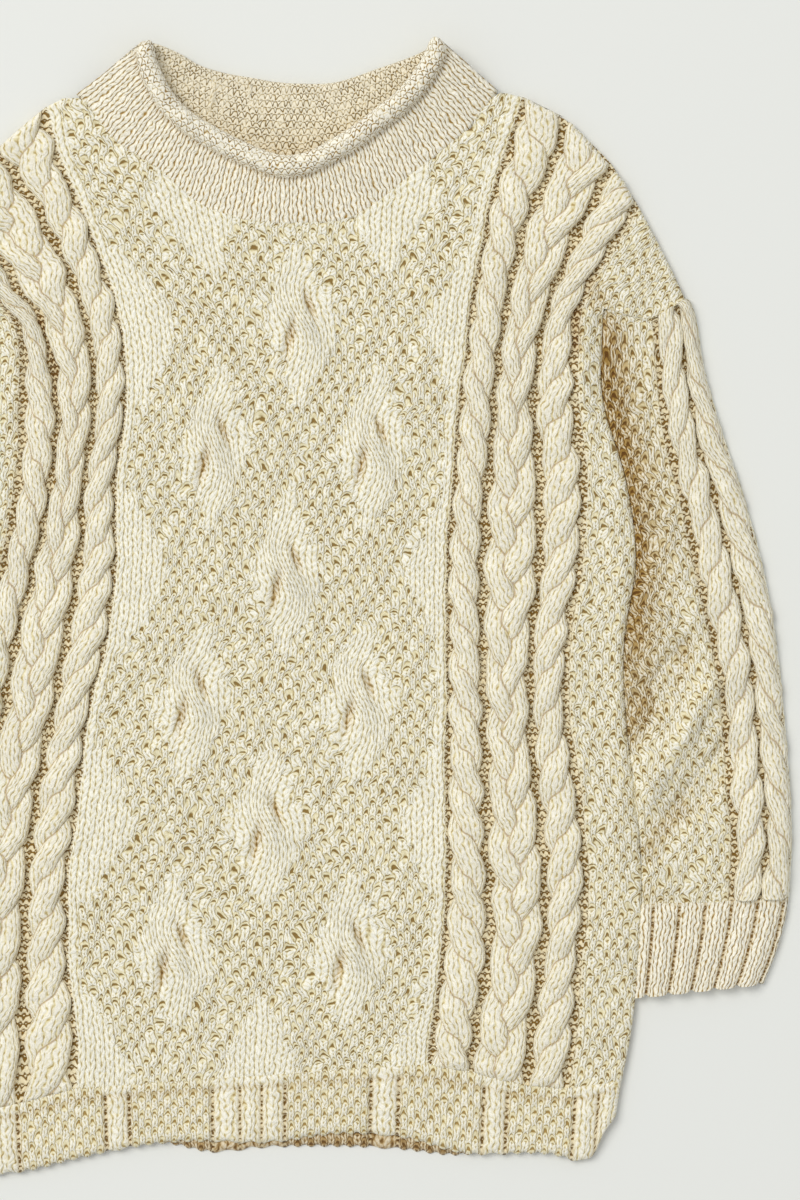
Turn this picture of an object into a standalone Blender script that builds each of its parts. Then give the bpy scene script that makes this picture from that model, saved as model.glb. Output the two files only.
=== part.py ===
"""Cable knit sweater, laid flat with its front up.

The sweater is built as it is knitted and sewn: a front and a back panel with a band at the hem, two
sleeves and two cuffs that are flattened tubes, and a neckband whose edge rolls outwards.  Every piece
is a wall of cloth with its own solid, and a seam is a gap of 0.3 mm between two of them.

Tables and sizes are in millimetres and are turned to metres when a mesh is written.  +Y points to the
neck, +Z up, and the origin is the centre of the footprint on the surface.

A place on the front is given by two knitting coordinates.  "line" counts the ten lines that run up
the front: side seam, start of the moss, and the gutters between the cables.  "rise" is the knitted
height above the hem.
"""
from collections import namedtuple

import bmesh
import bpy
import numpy as np

MM = 0.001

# Layers, from the surface up.
SEAM = 0.3
NECK_SEAM = 0.5
BESIDE = 0.8
ARMHOLE_GAP = 1.0
BACK_TOP = 4.0
FRONT_BOTTOM = BACK_TOP + SEAM
WALL = 4.0
THINNEST = 1.6
EDGE_RIM = 0.9
SIDE_ROUNDING = 6.0
MAX_FOLD = 3.6
FOLD_FADE = 14.0
FOLD_END = 1.4
FAR = 60.0
SIDE_FADE = 12.0

# Raised knitting, height over the plain wall.
CABLE_HEIGHT = 4.4
GUTTER_DEPTH = 1.5
GUTTER_LINE = 0.08
DIAMOND_HEIGHT = 0.9
CROSSING_HEIGHT = 1.6
CROSSING_HOLLOW = 1.7
HEM_FADE = 14.0

# Centre panel: a lattice of diamonds, counted in stitches across and in rise upwards.
STITCHES = 51
MID_STITCH = 26.5
DIAMOND_STEP = 12
DIAMOND_HALF_WIDTH = 6.0
DIAMOND_RISE = 88.4
DIAMOND_HALF_RISE = 60.0
DIAMOND_EDGE = 0.3
FIRST_DIAMOND_RISE = 92.0
STRAND_LEAN = 0.10
STRAND_HALF = (2.6, 20.0)
HOLLOW_PLACE = (2.8, 9.0)
HOLLOW_HALF = (1.8, 12.0)

# Cables: half width as a share of the space between two lines, then the swing and half width of a
# strand as shares of that, and how much of its height a strand gains where it crosses over.
CABLE_HALF = 0.42
SLEEVE_CABLE_HALF = 0.44
ROPE_SWING = 0.42
ROPE_STRAND = 0.62
ROPE_CROSS = 0.26
BRAID_SWING = 0.6
BRAID_STRAND = 0.44
BRAID_CROSS = 0.22
NARROW_PERIOD = 29.0
BRAID_PERIOD = 118.0
SLEEVE_PERIOD = 31.5

# How finely the pieces are divided.
FRONT_ROWS_BELOW = 53
FRONT_ROWS_ABOVE = 19
LEVEL_RISE = 512.0
NECK_LINES = 15
FLOOR_COLUMNS = (5, 4, 3, 1)
SIDE_POINTS = 54
ARMHOLE_POINTS = 16
SLAB_LINES = 28

Row = namedtuple("Row", "rise side_l moss_l outer_l inner_l panel_l panel_r inner_r outer_r moss_r side_r")


def level(rise, y):
    """A row of knitting that lies straight across the front."""
    return Row(rise, *(y,) * 10)


# Across: x of each line at some rows of knitting.
ACROSS = (
    Row(0, -287, -250, -221, -182, -144, 103, 132, 172, 199, 238),
    Row(30, -288, -250, -221, -182, -144, 105, 135, 175, 204, 244),
    Row(86, -287, -248, -219, -180, -149, 112, 144, 182, 208, 250),
    Row(142, -282, -244, -216, -178, -150, 116, 144, 185, 213, 252),
    Row(198, -272, -234, -208, -172, -142, 115, 143, 179, 208, 248),
    Row(254, -257, -222, -196, -161, -136, 116, 142, 175, 200, 241),
    Row(310, -246, -210, -186, -151, -122, 116, 140, 175, 200, 240),
    Row(366, -231, -194, -173, -142, -116, 116, 140, 181, 209, 248),
    Row(422, -212, -184, -161, -138, -116, 120, 144, 180, 211, 241),
    Row(478, -200, -181, -158, -131, -109, 125, 149, 177, 206, 225),
    Row(542, -199, -187, -172, -139, -115, 133, 157, 186, 208, 225),
    Row(573, -231, -207, -190, -150, -125, 138, 163, 197, 221, 256),
    Row(604, -263, -225, -207, -162, -135, 143, 171, 209, 237, 283),
    Row(658, -312, -256, -239, -191, -156, 158, 192, 233, 265, 333),
    Row(703, -353, -284, -265, -221, -168, 172, 204, 252, 287, 373),
)
# Up: y of each line at the same rows.
UP = (
    Row(0, -360, -361, -359, -350, -340, -323, -328, -338, -340, -335),
    Row(30, -312, -312, -311, -308, -305, -300, -302, -306, -307, -305),
    level(86, -249),
    level(142, -193),
    level(198, -137),
    level(254, -81),
    level(310, -25),
    level(366, 31),
    level(422, 87),
    level(478, 143),
    Row(542, 207, 201, 203, 206, 207, 207, 207, 207, 207, 207),
    Row(573, 200, 220, 229, 235, 236, 238, 237, 236, 234, 200),
    Row(604, 213, 240, 254, 262, 265, 268, 267, 264, 260, 213),
    Row(658, 233, 280, 297, 308, 315, 319, 316, 312, 305, 233),
    Row(703, 252, 315, 333, 341, 358, 362, 359, 353, 344, 252),
)
# Rise at which each line reaches the shoulder seam; the side lines end at the armhole.
TOP = Row(None, 604, 630, 640, 672, 693, 696, 683, 654, 628, 604)
UNDERARM_RISE = 542.0

Point = namedtuple("Point", "x y")
NECK_FRONT = tuple(Point(*p) for p in (
    (-142, 361), (-121, 331), (-88, 307), (-58, 281), (-22, 270), (13, 268),
    (53, 273), (85, 296), (112, 319), (135, 339), (150, 361)))
NECK_BACK = tuple(Point(*p) for p in (
    (-142, 361), (-110, 335), (-70, 313), (-30, 302), (3, 300),
    (40, 302), (80, 314), (118, 336), (150, 361)))
SHOULDER_AT_NECK = (Point(-169, 346), Point(174, 353))

# The hem's lower edges, and the grooves beside its ribs.
HEM_FRONT_EDGE = tuple(Point(*p) for p in (
    (-283, -378), (-262, -402), (-230, -401), (-181, -397), (-143, -388), (-104, -380), (-83, -377),
    (0, -376), (35, -371), (83, -373), (126, -384), (189, -385), (214, -389), (226, -371), (234, -358)))
HEM_BACK_EDGE = tuple(Point(*p) for p in (
    (-281, -378), (-260, -400), (-181, -395), (-104, -379), (-82, -378), (-49, -384), (-16, -381),
    (35, -380), (83, -382), (121, -386), (150, -384), (189, -383), (212, -387), (224, -371), (232, -358)))
HEM_GROOVES = (-276, -260, -199, -183, -122, -106, -48, -29, -14, 2, 62, 81, 140, 156, 203, 219)
HEM_ROWS = (0.0, 0.14, 0.5, 0.86, 1.0)

# Sleeves: "run" is the knitted length from the armhole; the inner edge follows the body's side.
SleeveRow = namedtuple("SleeveRow", "run inner_y gutter_x groove_x outer_x outer_y")
SLEEVE_ROWS = tuple(SleeveRow(*row) for row in (
    (0, 207, 261, 274, 282.6, 212),
    (27, 178, 263, 280, 291, 188),
    (59, 143, 266, 284, 298, 160),
    (97, 104, 271, 291, 308, 125),
    (140, 62, 282, 303, 322, 83),
    (188, 17, 291, 315, 336, 34),
    (239, -32, 302, 326, 346, -18),
    (290, -81, 310, 332, 352, -70),
    (337, -126, 313, 337, 356, -119),
    (380, -168, 317, 340, 358, -163),
    (422, -210, 315, 335, 356, -205)))
CUFF_ROWS = tuple(SleeveRow(*row) for row in (
    (0, -210.3, 315, 335, 356, -205.3),
    (16, -226, 312, 333, 353, -222),
    (33, -243, 310, 331, 348, -240),
    (66, -276, 303, 321, 338, -266)))
SLEEVE_LINES = (0, 0.04, 0.14, 0.46, 0.85, 1, 1.24, 1.5, 1.76, 2, 2.25, 2.5, 2.75, 2.92, 3)
SLEEVE_SECTIONS = 38
SLEEVE_HEAD = 50.0
CUFF_SECTIONS = 6
SLEEVE_LOWER_WALL = 3.5
SLEEVE_HOLLOW = 0.3
SLEEVE_LOFT = 1.8
SLEEVE_FADE = 16.0
UNDERSIDE_TUCK = 1.4
FOLD_WALL = 3.0
CUFF_RIBS = 6
RIB_HEIGHT = 0.8
RIB_DEPTH = 1.8

# Creases and ridges, from one end to the other; a trough has a height below nought.
Fold = namedtuple("Fold", "x0 y0 x1 y1 width height")
BODY_FOLDS = (
    Fold(214, 200, 212, 150, 11, 3.4),
    Fold(212, 150, 226, 100, 9, 2.4),
    Fold(-190, 196, -194, 140, 11, 3.0),
    Fold(120, -60, 136, 60, 26, 1.2),
    Fold(-150, -190, -90, -120, 30, 1.0),
)
BODY_CREASES = (
    Fold(-196, 219, -161, 191, 4.5, -2.0),
    Fold(-161, 191, -157, 146, 4.0, -1.6),
    Fold(206, 206, 206, 181, 4.0, -1.8),
)
SLEEVE_FOLDS = (
    Fold(233, 194, 246, 140, 16, -2.6),
    Fold(244, 120, 262, 50, 18, -2.2),
    Fold(252, 20, 262, -20, 16, 1.4),
    Fold(242, -46, 262, -80, 12, -1.8),
    Fold(262, -132, 306, -55, 14, 1.6),
    Fold(262, -148, 288, -208, 13, -2.0),
    Fold(250, -104, 258, -140, 10, 1.2),
)

# Neckband: the middle of the rolled edge on the front, and the upper edge of the back.
RimPoint = namedtuple("RimPoint", "x y z")
ROLL = tuple(RimPoint(*p) for p in (
    (-95, 391, 22), (-93, 378, 20), (-87, 363, 18), (-79, 350, 16.5), (-66, 337, 15.5), (-48, 326, 14.5),
    (-30, 317, 14), (-11, 309, 14), (3, 306, 14), (17, 308, 14), (34, 316, 14), (51, 326, 14.5),
    (67, 338, 15.5), (84, 351, 16.5), (98, 367, 18), (106, 380, 20), (111, 393, 22)))
BACK_RIM = tuple(RimPoint(*p) for p in (
    (-96, 394, 14.2), (-84, 391, 13), (-70, 385, 11), (-58, 378, 9.5), (-42, 373, 8.6), (-20, 369, 8),
    (-2, 366, 8), (18, 365, 8), (38, 366, 8), (52, 370, 8.4), (69, 376, 9), (84, 381, 10),
    (97, 386, 12), (111, 394, 14.2)))
ROLL_RADIUS = 7.6
ROLL_TURNS = (-128, -95, -60, -25, 10, 45, 80, 115, 150)
RIM_RADIUS = 3.6
RIM_TURNS = (-120, -75, -30, 15, 60, 100)
BAND_SECTIONS = 31
BACK_BAND_SECTIONS = 23


def smooth(at, knots, values):
    """Cubic curve through the values at the knots, with the slopes of a Catmull-Rom spline."""
    at = np.asarray(at, float)
    knots = np.asarray(knots, float)
    values = np.asarray(values, float)
    slopes = np.gradient(values, knots, axis=0)
    at = np.clip(at, knots[0], knots[-1])
    first = np.clip(np.searchsorted(knots, at, side="right") - 1, 0, len(knots) - 2)
    span = knots[first + 1] - knots[first]
    part = (at - knots[first]) / span
    if values.ndim > 1:
        span = span[..., None]
        part = part[..., None]
    low, high = values[first], values[first + 1]
    return (low * (1 + 2 * part) * (1 - part) ** 2 + high * part ** 2 * (3 - 2 * part)
            + slopes[first] * span * part * (1 - part) ** 2 - slopes[first + 1] * span * part ** 2 * (1 - part))


def ease(value):
    """Smooth step from 0 to 1."""
    value = np.clip(value, 0.0, 1.0)
    return value * value * (3 - 2 * value)


def chord_lengths(points):
    """Distance along a row of points, from the first."""
    steps = np.linalg.norm(np.diff(points, axis=0), axis=1)
    return np.concatenate(([0.0], np.cumsum(steps)))


def along(points, parts):
    """Points at the given parts of the length of a smooth curve through a row of points."""
    table = np.array(points, float)
    lengths = chord_lengths(table)
    return smooth(np.asarray(parts) * lengths[-1], lengths, table)


def lines_at(rise, table):
    """Places of the ten lines at a rise; the two side lines turn a corner at the underarm."""
    rises = [row.rise for row in table]
    values = np.array([row[1:] for row in table], float)
    places = smooth(rise, rises, values)
    corner = rises.index(UNDERARM_RISE)
    below = smooth(rise, rises[:corner + 1], values[:corner + 1, ::9])
    above = smooth(rise, rises[corner:], values[corner:, ::9])
    places[..., ::9] = np.where(np.asarray(rise)[..., None] < UNDERARM_RISE, below, above)
    return places


def front_place(line, rise):
    """x and y of a place on the front, from its line (0 to 9) and its rise."""
    share = np.clip(1 - np.abs(np.asarray(line)[..., None] - np.arange(10)), 0, 1)
    return (lines_at(rise, ACROSS) * share).sum(-1), (lines_at(rise, UP) * share).sum(-1)


def neck_height(x, neck):
    """y of the panel's upper edge at the neck, and of the bits of shoulder beside it."""
    corners = neck[0], neck[-1]
    curve = smooth(x, [p.x for p in neck], [p.y for p in neck])
    left = np.interp(x, [SHOULDER_AT_NECK[0].x, corners[0].x], [SHOULDER_AT_NECK[0].y, corners[0].y])
    right = np.interp(x, [corners[1].x, SHOULDER_AT_NECK[1].x], [corners[1].y, SHOULDER_AT_NECK[1].y])
    return np.where(x < corners[0].x, left, np.where(x > corners[1].x, right, curve))


def top_rise(line, neck):
    """Rise at which a line of stitches ends at the shoulder or the neck."""
    line = np.asarray(line, float)
    shoulder = np.interp(line, np.arange(10), TOP[1:])
    rise = shoulder.copy()
    for _ in range(40):
        x, y = front_place(line, rise)
        rise = np.clip(rise + 0.6 * (neck_height(x, neck) - y), 480, 703)
    return np.where((line > 4) & (line < 5), rise, shoulder)


def at_neck(line, neck):
    """1 where a line of stitches ends at the neckband, 0 where it ends at the shoulder."""
    x, _ = front_place(line, top_rise(line, neck))
    return ((np.asarray(line) > 4) & (np.asarray(line) < 5) & (x > neck[0].x) & (x < neck[-1].x)).astype(float)


def fold_height(x, y, folds):
    """Height of all the creases and ridges at a place."""
    height = np.zeros_like(x)
    for fold in folds:
        run = np.array((fold.x1 - fold.x0, fold.y1 - fold.y0), float)
        length = np.hypot(*run)
        run /= length
        along_it = (x - fold.x0) * run[0] + (y - fold.y0) * run[1]
        beside = -(x - fold.x0) * run[1] + (y - fold.y0) * run[0]
        past = np.maximum(np.maximum(-along_it, along_it - length), 0)
        height += fold.height * np.exp(-(beside / fold.width) ** 2 - (past / (FOLD_END * fold.width)) ** 2)
    return height


def rope(across, rise, period, hand):
    """Height, 0 to 1, of a two-strand cable at a place across it (-1 to 1)."""
    height = np.zeros_like(across)
    for strand in (0, 1):
        turn = np.pi * (rise / period + strand)
        arch = 1 - ((across - ROPE_SWING * hand * np.cos(turn)) / ROPE_STRAND) ** 2
        height = np.maximum(height, np.sqrt(np.maximum(arch, 0)) * (1 - ROPE_CROSS * (1 - np.sin(turn))))
    return height


def braid(across, rise, period):
    """Height, 0 to 1, of a three-strand braid at a place across it (-1 to 1)."""
    height = np.zeros_like(across)
    for strand in (0, 1, 2):
        turn = 2 * np.pi * (rise / period + strand / 3)
        arch = 1 - ((across - BRAID_SWING * np.sin(turn)) / BRAID_STRAND) ** 2
        height = np.maximum(height, np.sqrt(np.maximum(arch, 0)) * (1 - BRAID_CROSS * (1 - np.sin(2 * turn))))
    return height


def cable_relief(line, rise):
    """Height of the cables, and depth of their gutters, at a place on the front."""
    height = np.zeros_like(line)
    for start, kind, hand in ((1, "rope", 1), (2, "braid", 1), (3, "rope", -1),
                              (5, "rope", 1), (6, "braid", 1), (7, "rope", -1)):
        across = (line - start - 0.5) / CABLE_HALF
        inside = np.abs(across) < 1
        if kind == "rope":
            form = rope(across, rise, NARROW_PERIOD, hand)
        else:
            form = braid(across, rise, BRAID_PERIOD)
        height += np.where(inside, CABLE_HEIGHT * form, 0)
    gutters = np.min(np.abs(np.asarray(line)[..., None] - np.arange(1, 9)), axis=-1)
    return height - GUTTER_DEPTH * np.exp(-(gutters / GUTTER_LINE) ** 2)


def mound(across, up, half):
    """1 at the middle, falling off with its half widths across and up."""
    return np.exp(-(across / half[0]) ** 2 - (up / half[1]) ** 2)


def diamond_relief(line, rise):
    """Height of the smooth diamonds and their crossings in the centre panel."""
    stitch = (line - 4) * STITCHES
    height = np.zeros_like(line)
    for row in range(6):
        middle = FIRST_DIAMOND_RISE + DIAMOND_RISE * row
        columns = (-1, 1) if row % 2 == 0 else (-2, 0, 2)
        for column in columns:
            off = stitch - (MID_STITCH + DIAMOND_STEP * column)
            up = rise - middle
            inside = 1 - np.abs(off) / DIAMOND_HALF_WIDTH - np.abs(up) / DIAMOND_HALF_RISE
            height += DIAMOND_HEIGHT * ease(inside / DIAMOND_EDGE)
            if abs(column) < 2:
                height += CROSSING_HEIGHT * mound(off + STRAND_LEAN * up, up, STRAND_HALF)
                height -= CROSSING_HOLLOW * mound(off - HOLLOW_PLACE[0], up - HOLLOW_PLACE[1], HOLLOW_HALF)
                height -= CROSSING_HOLLOW * mound(off + HOLLOW_PLACE[0], up + HOLLOW_PLACE[1], HOLLOW_HALF)
    return np.where((line > 4) & (line < 5), height, 0)


def roundness(distance):
    """0 at a rounded edge, 1 once the wall has its full height."""
    inside = np.clip(distance / SIDE_ROUNDING, 0, 1)
    return np.sqrt(1 - (1 - inside) ** 2)


def side_x(y, right):
    """x of the body's side edge at a height between hem and underarm."""
    rises = np.linspace(0, UNDERARM_RISE, 120)
    x, ys = front_place(np.full_like(rises, 9.0 if right else 0.0), rises)
    return np.interp(y, ys, x)


def side_gap(line, rise):
    """Distance to the nearer side edge, and a large one above the underarm."""
    x, y = front_place(line, rise)
    left, _ = front_place(np.zeros_like(line), rise)
    right, _ = front_place(np.full_like(line, 9.0), rise)
    gap = np.minimum(x - left, right - x)
    return gap + FAR * ease(0.5 + (rise - UNDERARM_RISE) / SIDE_FADE)


def neck_lines(neck, count):
    """Lines of stitches that end along the neck, evenly spaced from corner to corner."""
    fine = np.linspace(4.0, 5.0, 801)
    x, _ = front_place(fine, top_rise(fine, neck))
    return np.interp(np.linspace(neck[0].x, neck[-1].x, count), x, fine)


def neck_edge(neck, count):
    """The panel's upper edge at the neck, as the points where its lines of stitches end."""
    lines = neck_lines(neck, count)
    return np.stack(front_place(lines, top_rise(lines, neck)), axis=-1)


def front_grid(neck):
    """Lines and rises of the front's grid: rows are level below and fan out at the shoulders."""
    narrow = (0.22, 0.5, 0.78, 1.0)
    wide = (0.16, 0.38, 0.62, 0.84, 1.0)
    moss = (0, 0.05, 0.16, 0.55, 1.0)
    left = [start + part for start, parts in enumerate((moss, narrow, wide, narrow)) for part in parts]
    right = [9 - line for line in reversed(left)]
    lines = np.array(left + list(neck_lines(neck, NECK_LINES)) + right)
    top = top_rise(lines, neck)
    below = np.linspace(0, LEVEL_RISE, FRONT_ROWS_BELOW)
    steps = np.append(np.linspace(0, 0.975, FRONT_ROWS_ABOVE)[1:], (0.993, 1.0))
    above = LEVEL_RISE + (top - LEVEL_RISE)[None, :] * steps[:, None]
    rises = np.vstack((np.repeat(below[:, None], len(lines), axis=1), above))
    return np.repeat(lines[None, :], len(rises), axis=0), rises


def front_points():
    """Outer and inner points of the front, as grids of rows by lines."""
    line, rise = front_grid(NECK_FRONT)
    x, y = front_place(line, rise)
    y[0] += SEAM
    to_top = top_rise(line[0], NECK_FRONT) - rise + FAR * at_neck(line[0], NECK_FRONT)
    edge = np.minimum(side_gap(line, rise), to_top)
    fold = np.clip(fold_height(x, y, BODY_FOLDS), 0, MAX_FOLD) * ease(edge / FOLD_FADE)
    relief = cable_relief(line, rise) + diamond_relief(line, rise) + fold_height(x, y, BODY_CREASES)
    relief = np.maximum(WALL + relief * ease(rise / HEM_FADE), THINNEST)
    upper = FRONT_BOTTOM + fold + EDGE_RIM + (relief - EDGE_RIM) * roundness(edge)
    outer = np.stack((x, y, upper), axis=-1)
    inner = np.stack((x, y, FRONT_BOTTOM + fold), axis=-1)
    return outer, inner


def slab_outline(neck):
    """Outline of the back panel: hem, right side, armhole, shoulder, neck and back down the left."""
    hem = np.linspace(0, 9, SLAB_LINES)
    armhole = np.linspace(UNDERARM_RISE, TOP.side_r, ARMHOLE_POINTS)
    climb = np.concatenate((np.linspace(0, UNDERARM_RISE, SIDE_POINTS)[1:], armhole[1:]))
    shoulder = np.concatenate((np.linspace(8.9, 5, 14), neck_lines(neck, NECK_LINES)[::-1], np.linspace(4, 0.1, 14)))
    lines = np.concatenate((hem, np.full(len(climb), 9.0), shoulder, np.zeros(len(climb))))
    rises = np.concatenate((np.zeros(len(hem)), climb, top_rise(shoulder, neck), climb[::-1]))
    x, y = front_place(lines, rises)
    y[:len(hem)] += SEAM
    return np.stack((x, y), axis=-1)


def sleeve_place(rows, line, run, right):
    """x and y of a place on a sleeve, and its x on the right one.

    The lines are inner edge, gutter, groove and outer edge.  The inner edge follows the body's side,
    the other lines lie as far from it on the left as on the right.
    """
    runs = [row.run for row in rows]
    inner_y, gutter, groove, outer, outer_y = (
        smooth(run, runs, [getattr(row, name) for row in rows])
        for name in ("inner_y", "gutter_x", "groove_x", "outer_x", "outer_y"))
    inner = side_x(inner_y, True) + BESIDE
    corners = np.stack((inner, gutter, groove, outer), axis=-1)
    share = np.clip(1 - np.abs(line[..., None] - np.arange(4)), 0, 1)
    right_x = (corners * share).sum(-1)
    y = inner_y + (outer_y - inner_y) * (right_x - inner) / (outer - inner)
    x = right_x if right else side_x(inner_y, False) - BESIDE - (right_x - inner)
    if rows is SLEEVE_ROWS:
        rise = np.linspace(UNDERARM_RISE, TOP.side_r, 40)
        seam_x, seam_y = front_place(np.full_like(rise, 9.0 if right else 0.0), rise)
        order = np.argsort(seam_x)
        seam = np.interp(x, seam_x[order], seam_y[order]) - ARMHOLE_GAP
        y = seam + (y - seam) * ease(run / SLEEVE_HEAD)
    return x, y, right_x


def sleeve_relief(line, run):
    """Height of the sleeve's cables over its plain wall."""
    gutter = np.exp(-((line - 1) / GUTTER_LINE) ** 2) + np.exp(-((line - 2) / GUTTER_LINE) ** 2)
    height = -GUTTER_DEPTH * gutter
    for start, hand in ((1, 1), (2, -1)):
        across = (line - start - 0.5) / SLEEVE_CABLE_HALF
        form = rope(across, run, SLEEVE_PERIOD, hand)
        height += np.where(np.abs(across) < 1, CABLE_HEIGHT * form * ease(run / HEM_FADE), 0)
    return height


def cuff_relief(line, run):
    """Height of the cuff's ribs, which run along its whole length."""
    turns = np.pi * line * CUFF_RIBS / 3
    return np.broadcast_to(RIB_HEIGHT - RIB_DEPTH * np.abs(np.cos(turns)) ** 6, run.shape)


def tube_points(x, y, top, roof):
    """Outer and inner rings of a flattened tube from its upper side, one ring for each section."""
    floor = [*range(x.shape[1] - 2, FLOOR_COLUMNS[0], -2), *FLOOR_COLUMNS]
    ring_x = np.hstack((x, x[:, floor], x[:, :1]))
    ring_y = np.hstack((y, y[:, floor], y[:, :1]))
    ring_z = np.hstack((top, np.zeros_like(x[:, floor]), top[:, :1]))
    outer = np.stack((ring_x, ring_y, ring_z), axis=-1)
    edges = np.sort(x[:, (0, -1)], axis=1)
    within = np.clip(ring_x, edges[:, :1] + FOLD_WALL, edges[:, 1:] - FOLD_WALL)
    rising = 1 if x[0, 0] < x[0, -1] else -1
    within_y = np.stack([np.interp(ends, row_x[::rising], row_y[::rising]) for ends, row_x, row_y in zip(within, x, y)])
    hollow = np.hstack((roof, np.full_like(x[:, floor], SLEEVE_LOWER_WALL), roof[:, :1]))
    inner = np.stack((within, within_y, hollow), axis=-1)
    return outer, inner


def sleeve_points(rows, sections, lines, relief, folds, right):
    """Outer and inner rings of a sleeve or cuff."""
    run = np.linspace(rows[0].run, rows[-1].run, sections)
    run = np.repeat(run[:, None], len(lines), axis=1)
    line = np.repeat(np.array(lines)[None, :], sections, axis=0)
    x, y, right_x = sleeve_place(rows, line, run, right)
    edge = np.minimum(right_x - right_x[:, :1], right_x[:, -1:] - right_x)
    fold = np.clip(SLEEVE_LOFT + fold_height(right_x, y, folds), 0, MAX_FOLD) * ease(edge / SLEEVE_FADE)
    roof = SLEEVE_LOWER_WALL + SLEEVE_HOLLOW + fold
    height = np.maximum(WALL + relief(line, run), THINNEST)
    top = roof - UNDERSIDE_TUCK + (height + UNDERSIDE_TUCK) * roundness(edge)
    return tube_points(x, y, top, roof)


def hem_points():
    """Outer and inner points of the front's hem band."""
    edge = along(HEM_FRONT_EDGE, np.linspace(0, 1, 400))
    near_groove = [g + d for g in HEM_GROOVES for d in (-3.2, 0, 3.2)]
    lines_x, lines_y = front_place(np.arange(10), np.zeros(10))
    under_lines = np.interp(lines_x, lines_x[::9], edge[::399, 0])
    part = np.interp(sorted(near_groove + list(under_lines[1:-1])), edge[:, 0], np.linspace(0, 1, 400))
    part = np.concatenate(([0.0, 0.012, 0.04], part[(part > 0.05) & (part < 0.95)], [0.96, 0.988, 1.0]))
    foot = along(HEM_FRONT_EDGE, part)
    head_x = np.interp(foot[:, 0], foot[::len(foot) - 1, 0], lines_x[::9])
    head = np.stack((head_x, np.interp(head_x, lines_x, lines_y)), axis=-1)
    down = np.array(HEM_ROWS)[:, None]
    x = head[:, 0] + (foot[:, 0] - head[:, 0]) * down
    y = head[:, 1] + (foot[:, 1] - head[:, 1]) * down
    groove = np.exp(-(np.min(np.abs(foot[:, :1] - np.array(HEM_GROOVES)), axis=1) / 2.2) ** 2)
    relief = WALL + 0.5 - 1.9 * groove[None, :] * ease(down / 0.14)
    to_edge = np.minimum(np.minimum(x - x[:, :1], x[:, -1:] - x), 46 * (1 - down))
    upper = FRONT_BOTTOM + EDGE_RIM + (relief - EDGE_RIM) * roundness(to_edge)
    outer = np.stack((x, y, upper), axis=-1)
    inner = np.stack((x, y, np.full_like(x, FRONT_BOTTOM)), axis=-1)
    return outer[::-1], inner[::-1]


def hem_back_outline():
    """Outline of the back's hem band."""
    line = np.linspace(0, 9, SLAB_LINES)
    x, y = front_place(line, np.zeros_like(line))
    foot = along(HEM_BACK_EDGE, np.linspace(1, 0, 40))
    return np.vstack((np.stack((x, y), axis=-1), foot))


def band_sections(neck, rim, sections, shift):
    """Seam point, rim point and direction for each section of a neckband half."""
    part = np.linspace(0, 1, sections)
    panel = neck_edge(neck, NECK_LINES)
    lengths = chord_lengths(panel)
    seam = np.stack([np.interp(part * lengths[-1], lengths, panel[:, axis]) for axis in (0, 1)], axis=-1)
    seam[:, 1] += shift
    edge = along(rim, part)
    run = edge[:, :2] - seam
    reach = np.linalg.norm(run, axis=1)
    return seam, edge, run / reach[:, None], reach


def band_solid_points(seam, run, offsets, heights):
    """Points of closed sections that stand along each section's direction."""
    x = seam[:, :1] + run[:, :1] * offsets
    y = seam[:, 1:2] + run[:, 1:2] * offsets
    return np.stack((x, y, heights), axis=-1)


def neckband_front_points():
    """Sections of the front neckband: the band rises to a rolled edge."""
    seam, rim, run, reach = band_sections(NECK_FRONT, ROLL, BAND_SECTIONS, NECK_SEAM)
    radius = np.full(len(seam), ROLL_RADIUS)
    middle = rim[:, 2]
    crease = reach - 0.98 * radius
    offsets, heights = [], []
    for part in (0, 0.35, 0.7):
        offsets.append(part * crease)
        heights.append(FRONT_BOTTOM + (middle - 0.8 * radius - FRONT_BOTTOM) * ease(part))
    for turn in np.radians(ROLL_TURNS):
        offsets.append(reach + radius * np.cos(turn))
        heights.append(middle + radius * np.sin(turn))
    for part in (0.97, 0.66, 0.33, 0):
        offsets.append(part * crease)
        top = FRONT_BOTTOM + WALL
        heights.append(top + (middle - 1.5 - top) * ease(part))
    return band_solid_points(seam, run, np.stack(offsets, axis=-1), np.stack(heights, axis=-1))


def neckband_back_points():
    """Sections of the back neckband: it lies on the surface and its edge turns away and down."""
    seam, rim, run, reach = band_sections(NECK_BACK, BACK_RIM, BACK_BAND_SECTIONS, NECK_SEAM)
    reach = reach - RIM_RADIUS
    middle = rim[:, 2] - RIM_RADIUS
    offsets, heights = [], []
    for part in (0, 0.45, 0.8):
        offsets.append(part * reach)
        heights.append((middle - RIM_RADIUS) * ease((part - 0.3) / 0.7) * 0.8)
    for turn in np.radians(RIM_TURNS):
        offsets.append(reach + RIM_RADIUS * np.cos(turn))
        heights.append(middle + RIM_RADIUS * np.sin(turn))
    for part in (0.8, 0.5, 0.25, 0):
        offsets.append(part * reach)
        heights.append(BACK_TOP + (rim[:, 2] - 0.4 - BACK_TOP) * ease(part))
    return band_solid_points(seam, run, np.stack(offsets, axis=-1), np.stack(heights, axis=-1))


def yarn_material(name, colour):
    """Cream wool for one piece."""
    material = bpy.data.materials.new(name)
    material.use_nodes = True
    shader = material.node_tree.nodes["Principled BSDF"]
    shader.inputs["Base Color"].default_value = (*colour, 1.0)
    shader.inputs["Roughness"].default_value = 0.9
    shader.inputs["Metallic"].default_value = 0.0
    return material


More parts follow.
